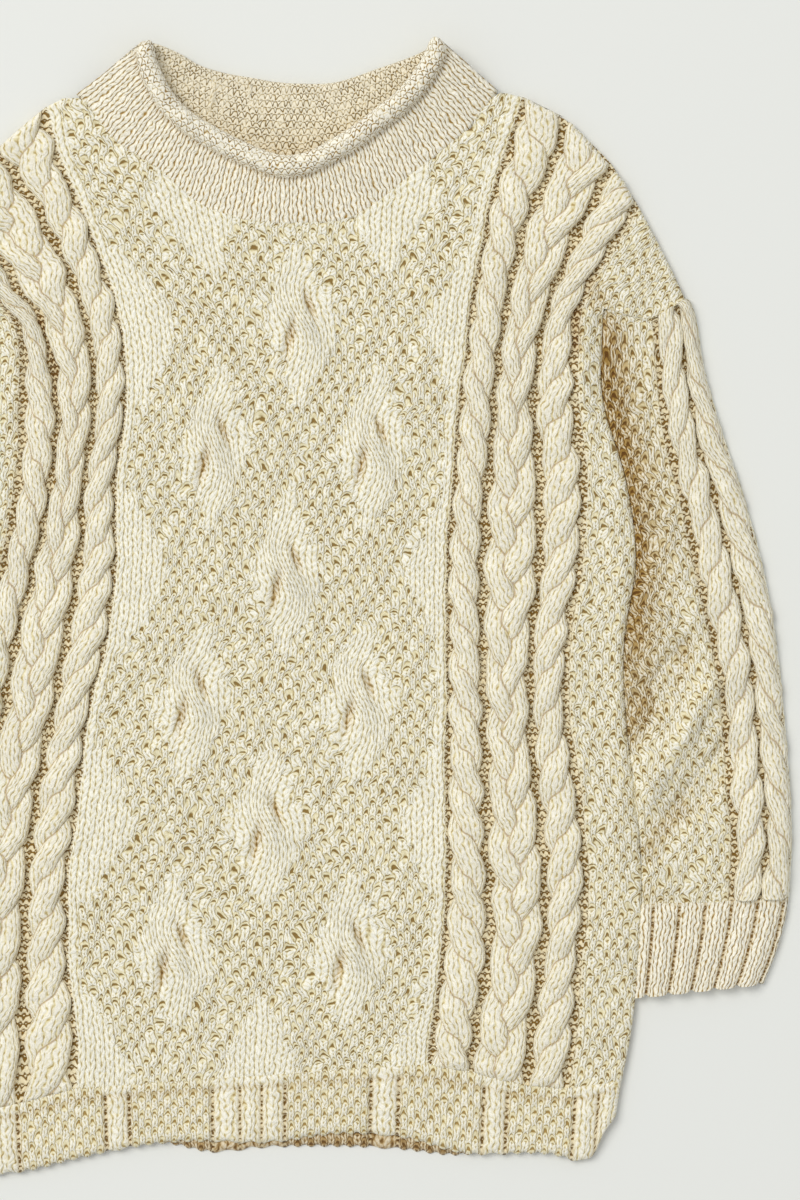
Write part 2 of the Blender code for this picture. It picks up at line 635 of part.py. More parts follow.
def new_object(name, bm, colour):
    """Turn a bmesh into a named object with its own material."""
    bmesh.ops.recalc_face_normals(bm, faces=bm.faces)
    mesh = bpy.data.meshes.new(name)
    bm.to_mesh(mesh)
    bm.free()
    mesh.materials.append(yarn_material(name + "_wool", colour))
    piece = bpy.data.objects.new(name, mesh)
    bpy.context.scene.collection.objects.link(piece)
    return piece


def grid_mesh(points):
    """A grid of faces with its vertices on the given points and their numbers kept in a layer."""
    rows, columns, _ = points.shape
    bm = bmesh.new()
    bmesh.ops.create_grid(bm, x_segments=columns - 1, y_segments=rows - 1, size=1.0)
    number = bm.verts.layers.int.new("number")
    for index, (vert, place) in enumerate(zip(bm.verts, points.reshape(-1, 3))):
        vert[number] = index
        vert.co = place * MM
    return bm, number


def thicken(bm, number, inner, keep_rows, keep_columns):
    """Give a grid its inner side, plainer than the outer one: only some rows and columns stay."""
    rows, columns, _ = inner.shape
    grown = bmesh.ops.extrude_face_region(bm, geom=bm.faces[:])["geom"]
    flat = inner.reshape(-1, 3)
    fresh = {item for item in grown if isinstance(item, bmesh.types.BMVert)}
    for vert in fresh:
        vert.co = flat[vert[number]] * MM
    spare = []
    for edge in bm.edges:
        if edge.verts[0] not in fresh or edge.verts[1] not in fresh or len(edge.link_faces) != 2:
            continue
        if not all(vert in fresh for face in edge.link_faces for vert in face.verts):
            continue
        (row_a, col_a), (row_b, col_b) = (divmod(vert[number], columns) for vert in edge.verts)
        on_row = row_a == row_b and row_a in keep_rows
        on_column = col_a == col_b and col_a in keep_columns
        if not (on_row or on_column):
            spare.append(edge)
    bmesh.ops.dissolve_edges(bm, edges=spare, use_verts=True)
    return bm


def make_wall(name, outer, inner, step, colour):
    """A panel: a grid of outer points over a plainer inner side."""
    rows, columns, _ = outer.shape
    bm, number = grid_mesh(outer)
    thicken(bm, number, inner, set(range(0, rows, step)), set(range(0, columns, step)))
    bmesh.ops.triangulate(bm, faces=bm.faces)
    return new_object(name, bm, colour)


def make_tube(name, outer, inner, step, colour):
    """A sleeve or cuff: rings joined into a tube, with an inner wall and open ends."""
    rows, columns, _ = outer.shape
    bm, number = grid_mesh(outer)
    bmesh.ops.remove_doubles(bm, verts=bm.verts, dist=1e-6)
    thicken(bm, number, inner, set(range(0, rows, step)), set(range(0, columns)))
    bmesh.ops.triangulate(bm, faces=bm.faces)
    return new_object(name, bm, colour)


def make_slab(name, outline, height, colour):
    """A flat panel on the surface, from its outline."""
    bm = bmesh.new()
    ring = [bm.verts.new((x * MM, y * MM, 0.0)) for x, y in outline]
    face = bm.faces.new(ring)
    grown = bmesh.ops.extrude_face_region(bm, geom=[face])["geom"]
    for item in grown:
        if isinstance(item, bmesh.types.BMVert):
            item.co.z = height * MM
    bmesh.ops.triangulate(bm, faces=bm.faces)
    return new_object(name, bm, colour)


def make_band(name, sections, colour):
    """Half of the neckband: closed sections joined along the neck, with a face at each end."""
    ringed = np.concatenate((sections, sections[:, :1]), axis=1)
    bm, _ = grid_mesh(ringed)
    bmesh.ops.remove_doubles(bm, verts=bm.verts, dist=1e-6)
    bmesh.ops.holes_fill(bm, edges=[edge for edge in bm.edges if edge.is_boundary])
    bmesh.ops.triangulate(bm, faces=bm.faces)
    return new_object(name, bm, colour)


def clear_scene():
    """Remove the objects that the file starts with."""
    for piece in list(bpy.data.objects):
        bpy.data.objects.remove(piece, do_unlink=True)


def centre_on_origin(pieces):
    """Move the sweater so that the centre of its footprint is the origin."""
    corners = np.array([vert.co[:] for piece in pieces for vert in piece.data.vertices])
    low, high = corners.min(axis=0), corners.max(axis=0)
    for piece in pieces:
        for vert in piece.data.vertices:
            vert.co.x -= 0.5 * (low[0] + high[0])
            vert.co.y -= 0.5 * (low[1] + high[1])


def main():
    """Build every piece of the sweater."""
    clear_scene()
    cream, pale, warm = (0.80, 0.72, 0.55), (0.83, 0.76, 0.60), (0.76, 0.67, 0.49)
    pieces = [make_wall("front", *front_points(), 6, cream),
              make_slab("back", slab_outline(NECK_BACK), BACK_TOP, warm),
              make_wall("hem_front", *hem_points(), 4, pale),
              make_slab("hem_back", hem_back_outline(), BACK_TOP, warm)]
    ribs = [rib + part for rib in range(CUFF_RIBS) for part in (0, 0.3, 0.7)]
    cuff_lines = [0, 0.03] + [3 * rib / CUFF_RIBS for rib in ribs[1:]] + [2.94, 3]
    for name, right in (("right", True), ("left", False)):
        sleeve = sleeve_points(SLEEVE_ROWS, SLEEVE_SECTIONS, SLEEVE_LINES, sleeve_relief, SLEEVE_FOLDS, right)
        cuff = sleeve_points(CUFF_ROWS, CUFF_SECTIONS, cuff_lines, cuff_relief, (), right)
        pieces += [make_tube("sleeve_" + name, *sleeve, 3, cream),
                   make_tube("cuff_" + name, *cuff, 2, pale)]
    pieces += [
        make_band("neckband_front", neckband_front_points(), pale),
        make_band("neckband_back", neckband_back_points(), warm)]
    centre_on_origin(pieces)


if __name__ == "__main__":
    main()
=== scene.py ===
"""Knitted looks of a cream cable knit sweater that lies flat with its front up.

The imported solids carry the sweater's size and place.  Each of them is replaced here by knitting: a shell
of cloth whose grid follows the stitches, with the cables laid on it as strands that cross each other.

Lengths are in millimetres until a mesh is written.  A place on the front has two knitting coordinates:
"line" counts the ten lines that run up it (side seam, start of the moss, gutters between the cables),
and "rise" is the knitted height above the hem.
"""
import logging
import math
from collections.abc import Callable, Sequence
from dataclasses import dataclass, fields
from enum import Enum
from functools import partial
from typing import NamedTuple

import bmesh
import bpy
import numpy as np
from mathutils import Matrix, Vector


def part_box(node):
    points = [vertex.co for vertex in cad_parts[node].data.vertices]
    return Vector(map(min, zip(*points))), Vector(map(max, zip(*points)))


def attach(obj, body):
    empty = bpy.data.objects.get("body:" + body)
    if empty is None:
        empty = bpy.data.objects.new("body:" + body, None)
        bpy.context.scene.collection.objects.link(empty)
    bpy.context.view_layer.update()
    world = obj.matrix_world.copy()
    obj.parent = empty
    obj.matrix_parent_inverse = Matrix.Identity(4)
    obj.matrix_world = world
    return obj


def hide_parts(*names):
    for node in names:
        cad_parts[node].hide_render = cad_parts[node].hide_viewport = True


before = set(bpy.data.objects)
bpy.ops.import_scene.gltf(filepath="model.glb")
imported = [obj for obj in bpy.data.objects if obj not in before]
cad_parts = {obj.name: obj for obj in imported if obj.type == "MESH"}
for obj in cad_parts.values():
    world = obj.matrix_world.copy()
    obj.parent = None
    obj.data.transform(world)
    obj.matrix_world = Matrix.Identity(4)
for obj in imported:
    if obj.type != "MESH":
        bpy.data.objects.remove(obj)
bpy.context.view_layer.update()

log = logging.getLogger("sweater")

Array = np.ndarray
Pair = tuple[Array, Array]
Material = bpy.types.Material
Socket = bpy.types.NodeSocket
Adder = Callable[..., Socket]
MM = 0.001
# Points of a mesh that are nearer than this are joined, m.
JOIN = 1e-6
# The UV map that carries the stitch numbers, and a setting that the wool uses often.
STITCH_MAP = "stitch"
SMOOTH_STEP = {"interpolation_type": "SMOOTHSTEP"}

# One stitch of the chunky yarn, across and up, and how many grid faces it gets each way.
STITCH = 4.55
ROW = 3.35
FACES_ACROSS = 3
FACES_UP = 1.5
# Smooth knitting is wider and taller than moss: how many of its stitches fit one of the moss, each way.
SMOOTH_ACROSS = 0.69
SMOOTH_UP = 0.64

# Layers of cloth from the surface up, as in the solids: the back's upper side, the front's underside, the
# thickness of the cloth and the least of it that a crease leaves.
BACK_TOP = 4.0
FRONT_BOTTOM = 4.3
WALL = 4.0
THINNEST = 1.2
# A free edge: its height over the underside, and how far in from it the cloth is rounded.
EDGE_RIM = 0.9
SIDE_ROUNDING = 6.0
# Folds: their greatest height, how far in from an edge they are whole, and how soft their ends are, in
# widths of the fold.
MAX_FOLD = 3.6
FOLD_FADE = 14.0
FOLD_END = 1.4
# How far relief takes to grow above the hem and beside the underarm, the share of it that is there at the
# hem itself, and a distance that stands for "no edge near here".
HEM_FADE = 12.0
HEM_SHARE = 0.3
FAR = 60.0
# The body's middle, and the height up to which the sleeves have their folds.
MIDDLE = -15.0
ARMHOLE_Y = 210.0
# Reach of the crease beside a strand of a cable, which sets the width of the shade line painted along it.
CREASE_REACH = 3.0
# Width of the row of faces beside a seam, which keeps the cloth up to its full height, and the gap between
# the solids of the front and its hem.
SEAM_ROW = 0.25
HEM_SEAM = 0.3
# The side seams are lines 0 and 9, and the centre panel lies between lines 4 and 5.
LAST_LINE = 9
PANEL_LINE = 4
# Lines at which the end of a panel is worked out, and how the end of a line of stitches is found: in steps
# that close most of the gap to the neck, starting no lower than its lowest row.
LINE_TABLE = np.linspace(0, LAST_LINE, 361)
SETTLING_STEPS = 40
SETTLING_SHARE = 0.6
LOWEST_NECK_RISE = 480.0
# How many places along the neck and up a side are worked out.
NECK_PLACES = 801
SIDE_PLACES = 120
# How far away a drift has nothing to do with the one here; strands and cables are this far apart for it.
APART = 500.0
STRANDS_APART = 90.0
CABLES_APART = 370.0
# Beside the middle of a gutter, in stitches: how far the wrong side shows, how much further the stitches
# take to stray freely, and the half width of the gutter's painted shade.
WRONG_SIDE = 0.6
GUTTER_CALM = 1.2
GUTTER_SHADE = 0.8
# Cables start this far above the edge of their piece, mm.
CABLE_START = 1.0


class Row(NamedTuple):
    """Knitted height of one row, and the places of the ten lines there from left to right."""

    rise: float | None
    side_l: float
    moss_l: float
    outer_l: float
    inner_l: float
    panel_l: float
    panel_r: float
    inner_r: float
    outer_r: float
    moss_r: float
    side_r: float


class Point(NamedTuple):
    """A place on the surface that the sweater lies on."""

    x: float
    y: float


class RimPoint(NamedTuple):
    """A place on the rim of the neckband."""

    x: float
    y: float
    z: float


class SleeveRow(NamedTuple):
    """Edges of a sleeve at one knitted length from the armhole."""

    run: float
    inner_y: float
    gutter_x: float
    groove_x: float
    outer_x: float
    outer_y: float


class Fold(NamedTuple):
    """A ridge, or a trough where its height is below nought, from one end to the other."""

    x0: float
    y0: float
    x1: float
    y1: float
    width: float
    height: float


def level(rise: float, y: float) -> Row:
    """A row of knitting that lies straight across."""
    return Row(rise, *(y,) * (LAST_LINE + 1))


# Across: x of each line at some rows of knitting.
ACROSS = (
    Row(0, -287, -250, -221, -182, -144, 103, 132, 172, 199, 238),
    Row(30, -288, -250, -221, -182, -144, 105, 135, 175, 204, 244),
    Row(86, -287, -248, -219, -180, -149, 112, 144, 182, 208, 250),
    Row(142, -282, -244, -216, -178, -150, 116, 144, 185, 213, 252),
    Row(198, -272, -234, -208, -172, -142, 115, 143, 179, 208, 248),
    Row(254, -257, -222, -196, -161, -136, 116, 142, 175, 200, 241),
    Row(310, -246, -210, -186, -151, -122, 116, 140, 175, 200, 240),
    Row(366, -231, -194, -173, -142, -116, 116, 140, 181, 209, 248),
    Row(422, -212, -184, -161, -138, -116, 120, 144, 180, 211, 241),
    Row(478, -200, -181, -158, -131, -109, 125, 149, 177, 206, 225),
    Row(542, -199, -187, -172, -139, -115, 133, 157, 186, 208, 225),
    Row(573, -231, -207, -190, -150, -125, 138, 163, 197, 221, 256),
    Row(604, -263, -225, -207, -162, -135, 143, 171, 209, 237, 283),
    Row(658, -312, -256, -239, -191, -156, 158, 192, 233, 265, 333),
    Row(703, -353, -284, -265, -221, -168, 172, 204, 252, 287, 373),
)
# Up: y of each line at the same rows.
UP = (
    Row(0, -360, -361, -359, -350, -340, -323, -328, -338, -340, -335),
    Row(30, -312, -312, -311, -308, -305, -300, -302, -306, -307, -305),
    level(86, -249),
    level(142, -193),
    level(198, -137),
    level(254, -81),
    level(310, -25),
    level(366, 31),
    level(422, 87),
    level(478, 143),
    Row(542, 207, 201, 203, 206, 207, 207, 207, 207, 207, 207),
    Row(573, 200, 220, 229, 235, 236, 238, 237, 236, 234, 200),
    Row(604, 213, 240, 254, 262, 265, 268, 267, 264, 260, 213),
    Row(658, 233, 280, 297, 308, 315, 319, 316, 312, 305, 233),
    Row(703, 252, 315, 333, 341, 358, 362, 359, 353, 344, 252),
)
# Rise at which each line reaches the shoulder seam.
TOP = Row(None, 604, 630, 640, 672, 693, 696, 683, 654, 628, 604)
# Rise of the underarm, where the side lines turn a corner.
UNDERARM_RISE = 542.0

# Upper edge of the front and of the back at the neck, from left to right.
NECK_FRONT = tuple(Point(*place) for place in (
    (-142, 361), (-121, 331), (-88, 307), (-58, 281), (-22, 270), (13, 268),
    (53, 273), (85, 296), (112, 319), (135, 339), (150, 361)))
NECK_BACK = tuple(Point(*place) for place in (
    (-142, 361), (-110, 335), (-70, 313), (-30, 302), (3, 300),
    (40, 302), (80, 314), (118, 336), (150, 361)))

# Lower edges of the hem's front and back, and x of the grooves beside their ribs.
HEM_FRONT_EDGE = tuple(Point(*place) for place in (
    (-283, -378), (-262, -402), (-230, -401), (-181, -397), (-143, -388), (-104, -380), (-83, -377),
    (0, -376), (35, -371), (83, -373), (126, -384), (189, -385), (214, -389), (226, -371), (234, -358)))
HEM_BACK_EDGE = tuple(Point(*place) for place in (
    (-281, -378), (-260, -400), (-181, -395), (-104, -379), (-82, -378), (-49, -384), (-16, -381),
    (35, -380), (83, -382), (121, -386), (150, -384), (189, -383), (212, -387), (224, -371), (232, -358)))
HEM_GROOVES = (-276, -260, -199, -183, -122, -106, -48, -29, -14, 2, 62, 81, 140, 156, 203, 219)

# Lines of the columns of faces at the edges of a sleeve or cuff, whose lines are 0 to 3.
INNER_EDGE = (0, 0.006, 0.013)
OUTER_EDGE = (2.95, 2.98, 3.0)
# Edges of the right-hand sleeve and cuff, from the top down.
SLEEVE_ROWS = tuple(SleeveRow(*row) for row in (
    (0, 207, 261, 274, 282.6, 212),
    (27, 178, 263, 280, 291, 188),
    (59, 143, 266, 284, 298, 160),
    (97, 104, 271, 291, 308, 125),
    (140, 62, 282, 303, 322, 83),
    (188, 17, 291, 315, 336, 34),
    (239, -32, 302, 326, 346, -18),
    (290, -81, 310, 332, 352, -70),
    (337, -126, 313, 337, 356, -119),
    (380, -168, 317, 340, 358, -163),
    (422, -210.9, 315, 335, 356, -205.9)))
CUFF_ROWS = tuple(SleeveRow(*row) for row in (
    (0, -210.3, 315, 335, 356, -205.3),
    (16, -226, 312, 333, 353, -222),
    (33, -243, 310, 331, 348, -240),
    (66, -276, 303, 321, 338, -266)))

# Broad folds and sharp creases of the body, and folds of the right-hand sleeve.
BODY_FOLDS = (
    Fold(214, 200, 212, 150, 11, 3.4),
    Fold(212, 150, 226, 100, 9, 2.4),
    Fold(-190, 196, -194, 140, 11, 3.0),
    Fold(120, -60, 136, 60, 26, 1.2),
    Fold(-150, -190, -90, -120, 30, 1.0),
)
BODY_CREASES = (
    Fold(-196, 219, -161, 191, 4.5, -2.0),
    Fold(-161, 191, -157, 146, 4.0, -1.6),
    Fold(206, 206, 206, 181, 4.0, -1.8),
    Fold(204, 238, 222, 216, 9.0, -1.0),
)
SLEEVE_FOLDS = (
    Fold(233, 194, 246, 140, 16, -2.6),
    Fold(244, 120, 262, 50, 18, -2.2),
    Fold(252, 20, 262, -20, 16, 1.4),
    Fold(242, -46, 262, -80, 12, -1.8),
    Fold(262, -132, 306, -55, 14, 1.6),
    Fold(262, -148, 288, -208, 13, -2.0),
    Fold(250, -104, 258, -140, 10, 1.2),
)
# Ridges at the body's right-hand side, which the left-hand one mirrors, and creases of the sleeve.
SIDE_RIDGES = (
    Fold(232, 150, 236, 20, 7, 1.6),
    Fold(236, 20, 236, -240, 8, 1.8),
)
SLEEVE_CREASES = (
    Fold(231, 176, 243, 50, 12, -6.0),
    Fold(247, 40, 250, -20, 11, -5.0),
    Fold(240, -94, 252, -76, 11, -5.0),
    Fold(244, -90, 284, -30, 8, -7.0),
    Fold(252, -136, 302, -56, 7.5, 7.0),
    Fold(256, -172, 312, -106, 8, -7.5),
    Fold(246, -198, 264, -206, 8, -4.0),
    Fold(266, 60, 292, -20, 11, 4.0),
)

# Neckband: the middle of the rolled edge on the front, and the upper edge of the back.
ROLL = tuple(RimPoint(*place) for place in (
    (-95, 391, 22), (-93, 378, 20), (-87, 363, 18), (-79, 350, 16.5), (-66, 337, 15.5), (-48, 326, 14.5),
    (-30, 317, 14), (-11, 309, 14), (3, 306, 14), (17, 308, 14), (34, 316, 14), (51, 326, 14.5),
    (67, 338, 15.5), (84, 351, 16.5), (98, 367, 18), (106, 380, 20), (111, 393, 22)))
BACK_RIM = tuple(RimPoint(*place) for place in (
    (-96, 394, 14.2), (-84, 391, 13), (-70, 385, 11), (-58, 378, 9.5), (-42, 373, 8.6), (-20, 369, 8),
    (-2, 366, 8), (18, 365, 8), (38, 366, 8), (52, 370, 8.4), (69, 376, 9), (84, 381, 10),
    (97, 386, 12), (111, 394, 14.2)))


def smooth(at: Array, knots: Sequence[float], values: Array | Sequence) -> Array:
    """Cubic curve through values at knots, with the slopes of a Catmull-Rom spline.

    Args:
        at: places to read the curve at; places outside the knots read its ends.
        knots: rising places at which the values are known.
        values: one value, or one row of values, for each knot.

    Returns:
        The curve's value, or row of values, at each place.
    """
    knots = np.asarray(knots, float)
    values = np.asarray(values, float)
    slopes = np.gradient(values, knots, axis=0)
    at = np.clip(np.asarray(at, float), knots[0], knots[-1])
    first = np.clip(np.searchsorted(knots, at, side="right") - 1, 0, len(knots) - 2)
    span = knots[first + 1] - knots[first]
    part = (at - knots[first]) / span
    if values.ndim > 1:
        span = span[..., None]
        part = part[..., None]
    rest = 1 - part
    low, high = values[first], values[first + 1]
    return (low * (1 + 2 * part) * rest ** 2 + high * part ** 2 * (3 - 2 * part)
            + slopes[first] * span * part * rest ** 2 - slopes[first + 1] * span * part ** 2 * rest)


def ease(value: Array) -> Array:
    """Smooth step from 0 to 1 as the value goes from 0 to 1."""
    value = np.clip(value, 0.0, 1.0)
    return value * value * (3 - 2 * value)


def mound(across: Array, up: Array, half: tuple[float, float]) -> Array:
    """1 at the middle, falling off with its half widths across and up."""
    return np.exp(-(across / half[0]) ** 2 - (up / half[1]) ** 2)


def near(distance: Array, half: float) -> Array:
    """1 where the distance is nought, falling off with the half width."""
    return np.exp(-(distance / half) ** 2)


def quarter_round(share: Array) -> Array:
    """Height of a quarter of a circle from its edge (share 0) to its top (share 1 and beyond)."""
    return np.sqrt(1 - (1 - np.clip(share, 0, 1)) ** 2)


def roundness(distance: Array) -> Array:
    """0 at a rounded edge and 1 where the wall has its full height."""
    return quarter_round(distance / SIDE_ROUNDING)


def in_panel(line: Array) -> Array:
    """True for lines in the centre panel."""
    return (line > PANEL_LINE) & (line < PANEL_LINE + 1)


def between_lines(line: Array, values: Array) -> Array:
    """Value at each line, from the values on the whole lines in the last axis."""
    share = np.clip(1 - np.abs(np.asarray(line)[..., None] - np.arange(values.shape[-1])), 0, 1)
    return (values * share).sum(-1)


def chord_lengths(points: Array) -> Array:
    """Distance of each point of a row from the first, along the row."""
    steps = np.linalg.norm(np.diff(points, axis=0), axis=-1)
    return np.concatenate((np.zeros((1, *steps.shape[1:])), np.cumsum(steps, axis=0)))


def along(points: Sequence, parts: Array) -> Array:
    """Follow a smooth curve through a row of points.

    Args:
        points: the points.
        parts: parts of the curve's length, from 0 to 1.

    Returns:
        The place at each part.
    """
    table = np.array(points, float)
    lengths = chord_lengths(table)
    return smooth(np.asarray(parts) * lengths[-1], lengths, table)


def fold_height(x: Array, y: Array, folds: Sequence[Fold]) -> Array:
    """Height of all the ridges and troughs at each place.

    Args:
        x: places across.
        y: places up.
        folds: the ridges and troughs.

    Returns:
        Their heights added up, mm.
    """
    height = np.zeros_like(x)
    for fold in folds:
        run = np.array((fold.x1 - fold.x0, fold.y1 - fold.y0), float)
        length = np.hypot(*run)
        run /= length
        forward = (x - fold.x0) * run[0] + (y - fold.y0) * run[1]
        beside = -(x - fold.x0) * run[1] + (y - fold.y0) * run[0]
        past = np.maximum(np.maximum(-forward, forward - length), 0)
        height += fold.height * mound(beside, past, (fold.width, FOLD_END * fold.width))
    return height


def moss_bumps(stitch: Array, row: Array) -> Array:
    """Double moss: from -1 to 1, changing sign at each stitch across and at each second row up."""
    return np.sin(np.pi * stitch) * np.sin(np.pi * row / 2)


@dataclass(frozen=True)
class Wander:
    """The slow drift of hand knitting: broad waves with seeded directions."""

    seed: int
    reach: float  # about how far the drift goes
    shortest: float = 18.0
    longest: float = 90.0
    waves: int = 9

    def at(self, x: Array, y: Array) -> Array:
        """Drift at each place.

        Args:
            x: places across.
            y: places up.

        Returns:
            The drift, mm.
        """
        draw = np.random.default_rng(self.seed)
        turns = draw.uniform(0, 2 * np.pi, (self.waves, 2))
        lengths = draw.uniform(self.shortest, self.longest, self.waves)
        drift = np.zeros_like(x)
        for (heading, phase), length in zip(turns, lengths):
            forward = x * np.cos(heading) + y * np.sin(heading)
            drift += np.sin(2 * np.pi * forward / length + phase)
        return self.reach * drift / math.sqrt(self.waves)


@dataclass(frozen=True)
class Unevenness:
    """How far the stitches of hand knitting stray from their places."""

    across: Wander = Wander(seed=21, reach=1.5, shortest=11.0, longest=55.0, waves=14)
    up: Wander = Wander(seed=22, reach=1.5, shortest=9.0, longest=45.0, waves=14)

    def stray(self, x: Array, y: Array, stitch: Array, row: Array, share: Array) -> Pair:
        """Stitch and row numbers at each place once the stitches have strayed by a share of the drift."""
        return stitch + share * self.across.at(x, y) / STITCH, row + share * self.up.at(x, y) / ROW


@dataclass
class KnitPatch:
    """A grid of points on the knitting, with its stitches and what the yarn does there."""

    points: Array  # rows by columns of x, y and z
    stitch: Array  # stitch number at each point, counted across
    row: Array  # row number at each point, counted up
    plain: Array  # 1 where the knitting is smooth, 0 where it is moss
    purl: Array  # 1 where the wrong side of the stitches shows
    depth: Array  # 1 at the bottom of a gutter or crease, where the wool gets painted shade, 0 on open knitting
    beyond: Array | None = None  # True at points past the piece's edge, which were pulled back onto it
    # On a strand, distance from where it meets the next one, as a share of CREASE_REACH; a shade line is
    # painted there.
    crease: Array | None = None
    # 1 deep in a fold or slit: painted shadow, warm where the light has been thrown back by the wool.
    shadow: Array | None = None

    def closed(self, axis: int) -> "KnitPatch":
        """Repeat the first row (axis 0) or column (axis 1) after the last, so that the two can be joined.

        Args:
            axis: 0 for rows, 1 for columns.

        Returns:
            The patch with its repeated row or column.
        """
        parts = {}
        for item in fields(self):
            values = getattr(self, item.name)
            if values is not None:
                parts[item.name] = np.concatenate((values, values.take([0], axis=axis)), axis=axis)
        return KnitPatch(**parts)

    def flat_area(self) -> float:
        """Area of the patch as it lies, seen from above, in square metres."""
        x, y = self.points[..., 0] * MM, self.points[..., 1] * MM
        first_x, first_y = x[1:, 1:] - x[:-1, :-1], y[1:, 1:] - y[:-1, :-1]
        other_x, other_y = x[1:, :-1] - x[:-1, 1:], y[1:, :-1] - y[:-1, 1:]
        return float(np.abs(first_x * other_y - first_y * other_x).sum() / 2)


class Closing(Enum):
    """How a grid of knitting becomes a closed shell."""

    UNDERSIDE = "a skirt and a flat face on the other side"
    MERGED = "rows and columns that meet are joined, and open ends are filled"


@dataclass(frozen=True)
class Knitter:
    """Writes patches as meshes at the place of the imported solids."""

    shift: tuple[float, float]  # what is added to x and y to reach the frame of the solids

    def make(self, name: str, patch: KnitPatch, closing: Closing, finish: Material,
             other_side: float = 0.0) -> bpy.types.Object:
        """Make a piece from a patch.

        Args:
            name: name of the piece.
            patch: the knitting.
            closing: how the shell is closed.
            finish: its material.
            other_side: height of the flat face that closes the shell, mm.

        Returns:
            The new object, riding on the sweater's body.
        """
        bm = bmesh.new()
        rows, columns, _ = patch.points.shape
        bmesh.ops.create_grid(bm, x_segments=columns - 1, y_segments=rows - 1, size=1.0)
        number = bm.verts.layers.int.new("number")
        offset = np.array((*self.shift, 0.0))
        places = ((patch.points + offset) * MM).reshape(-1, 3).tolist()
        for index, (vert, place) in enumerate(zip(bm.verts, places)):
            vert.co = place
            vert[number] = index
        if patch.beyond is not None:
            past = patch.beyond.ravel()
            spare = [face for face in bm.faces if all(past[vert[number]] for vert in face.verts)]
            bmesh.ops.delete(bm, geom=spare, context="FACES")
        bmesh.ops.remove_doubles(bm, verts=bm.verts, dist=JOIN)
        if closing is Closing.UNDERSIDE:
            self._close_underside(bm, other_side * MM)
        else:
            bmesh.ops.holes_fill(bm, edges=[edge for edge in bm.edges if edge.is_boundary], sides=0)
        bmesh.ops.recalc_face_normals(bm, faces=bm.faces)
        mesh = bpy.data.meshes.new(name)
        bm.to_mesh(mesh)
        bm.free()
        self._mark(mesh, patch)
        mesh.shade_smooth()
        mesh.materials.append(finish)
        piece = bpy.data.objects.new(name, mesh)
        bpy.context.scene.collection.objects.link(piece)
        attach(piece, "root")
        mesh.calc_loop_triangles()
        log.info("%s: %d triangles", name, len(mesh.loop_triangles))
        return piece

    def dress(self, node: str, patch: KnitPatch, closing: Closing, finish: Material,
              other_side: float = 0.0) -> bpy.types.Object:
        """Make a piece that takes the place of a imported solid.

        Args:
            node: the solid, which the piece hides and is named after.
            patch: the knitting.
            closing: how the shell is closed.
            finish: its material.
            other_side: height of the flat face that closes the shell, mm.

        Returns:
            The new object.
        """
        piece = self.make(node + "_knit", patch, closing, finish, other_side)
        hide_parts(node)
        return piece

    @staticmethod
    def _close_underside(bm: bmesh.types.BMesh, height: float) -> None:
        """Add a skirt round an open grid and one face across its other side.

        Args:
            bm: the grid.
            height: where the other side lies, m.
        """
        rim = [edge for edge in bm.edges if edge.is_boundary]
        grown = bmesh.ops.extrude_edge_only(bm, edges=rim)["geom"]
        for item in grown:
            if isinstance(item, bmesh.types.BMVert):
                item.co.z = height
        skirt = [item for item in grown if isinstance(item, bmesh.types.BMEdge)]
        bmesh.ops.contextual_create(bm, geom=skirt)

    @staticmethod
    def _mark(mesh: bpy.types.Mesh, patch: KnitPatch) -> None:
        """Write the stitch numbers as a UV map and the other marks as attributes.

        Args:
            mesh: the piece's mesh, whose points keep their numbers in the grid.
            patch: the knitting.
        """
        order = np.empty(len(mesh.vertices), np.int32)
        mesh.attributes["number"].data.foreach_get("value", order)
        corner = np.empty(len(mesh.loops), np.int32)
        mesh.loops.foreach_get("vertex_index", corner)
        stitches = np.stack((patch.stitch, patch.row), axis=-1).reshape(-1, 2).astype(np.float32)
        layer = mesh.uv_layers.new(name=STITCH_MAP)
        layer.data.foreach_set("uv", stitches[order[corner]].ravel())
        for name in ("plain", "purl", "depth", "crease", "shadow"):
            if getattr(patch, name) is None:
                continue
            values = getattr(patch, name).ravel()[order].astype(np.float32)
            mesh.attributes.new(name, "FLOAT", "POINT").data.foreach_set("value", values)
        mesh.attributes.remove(mesh.attributes["number"])


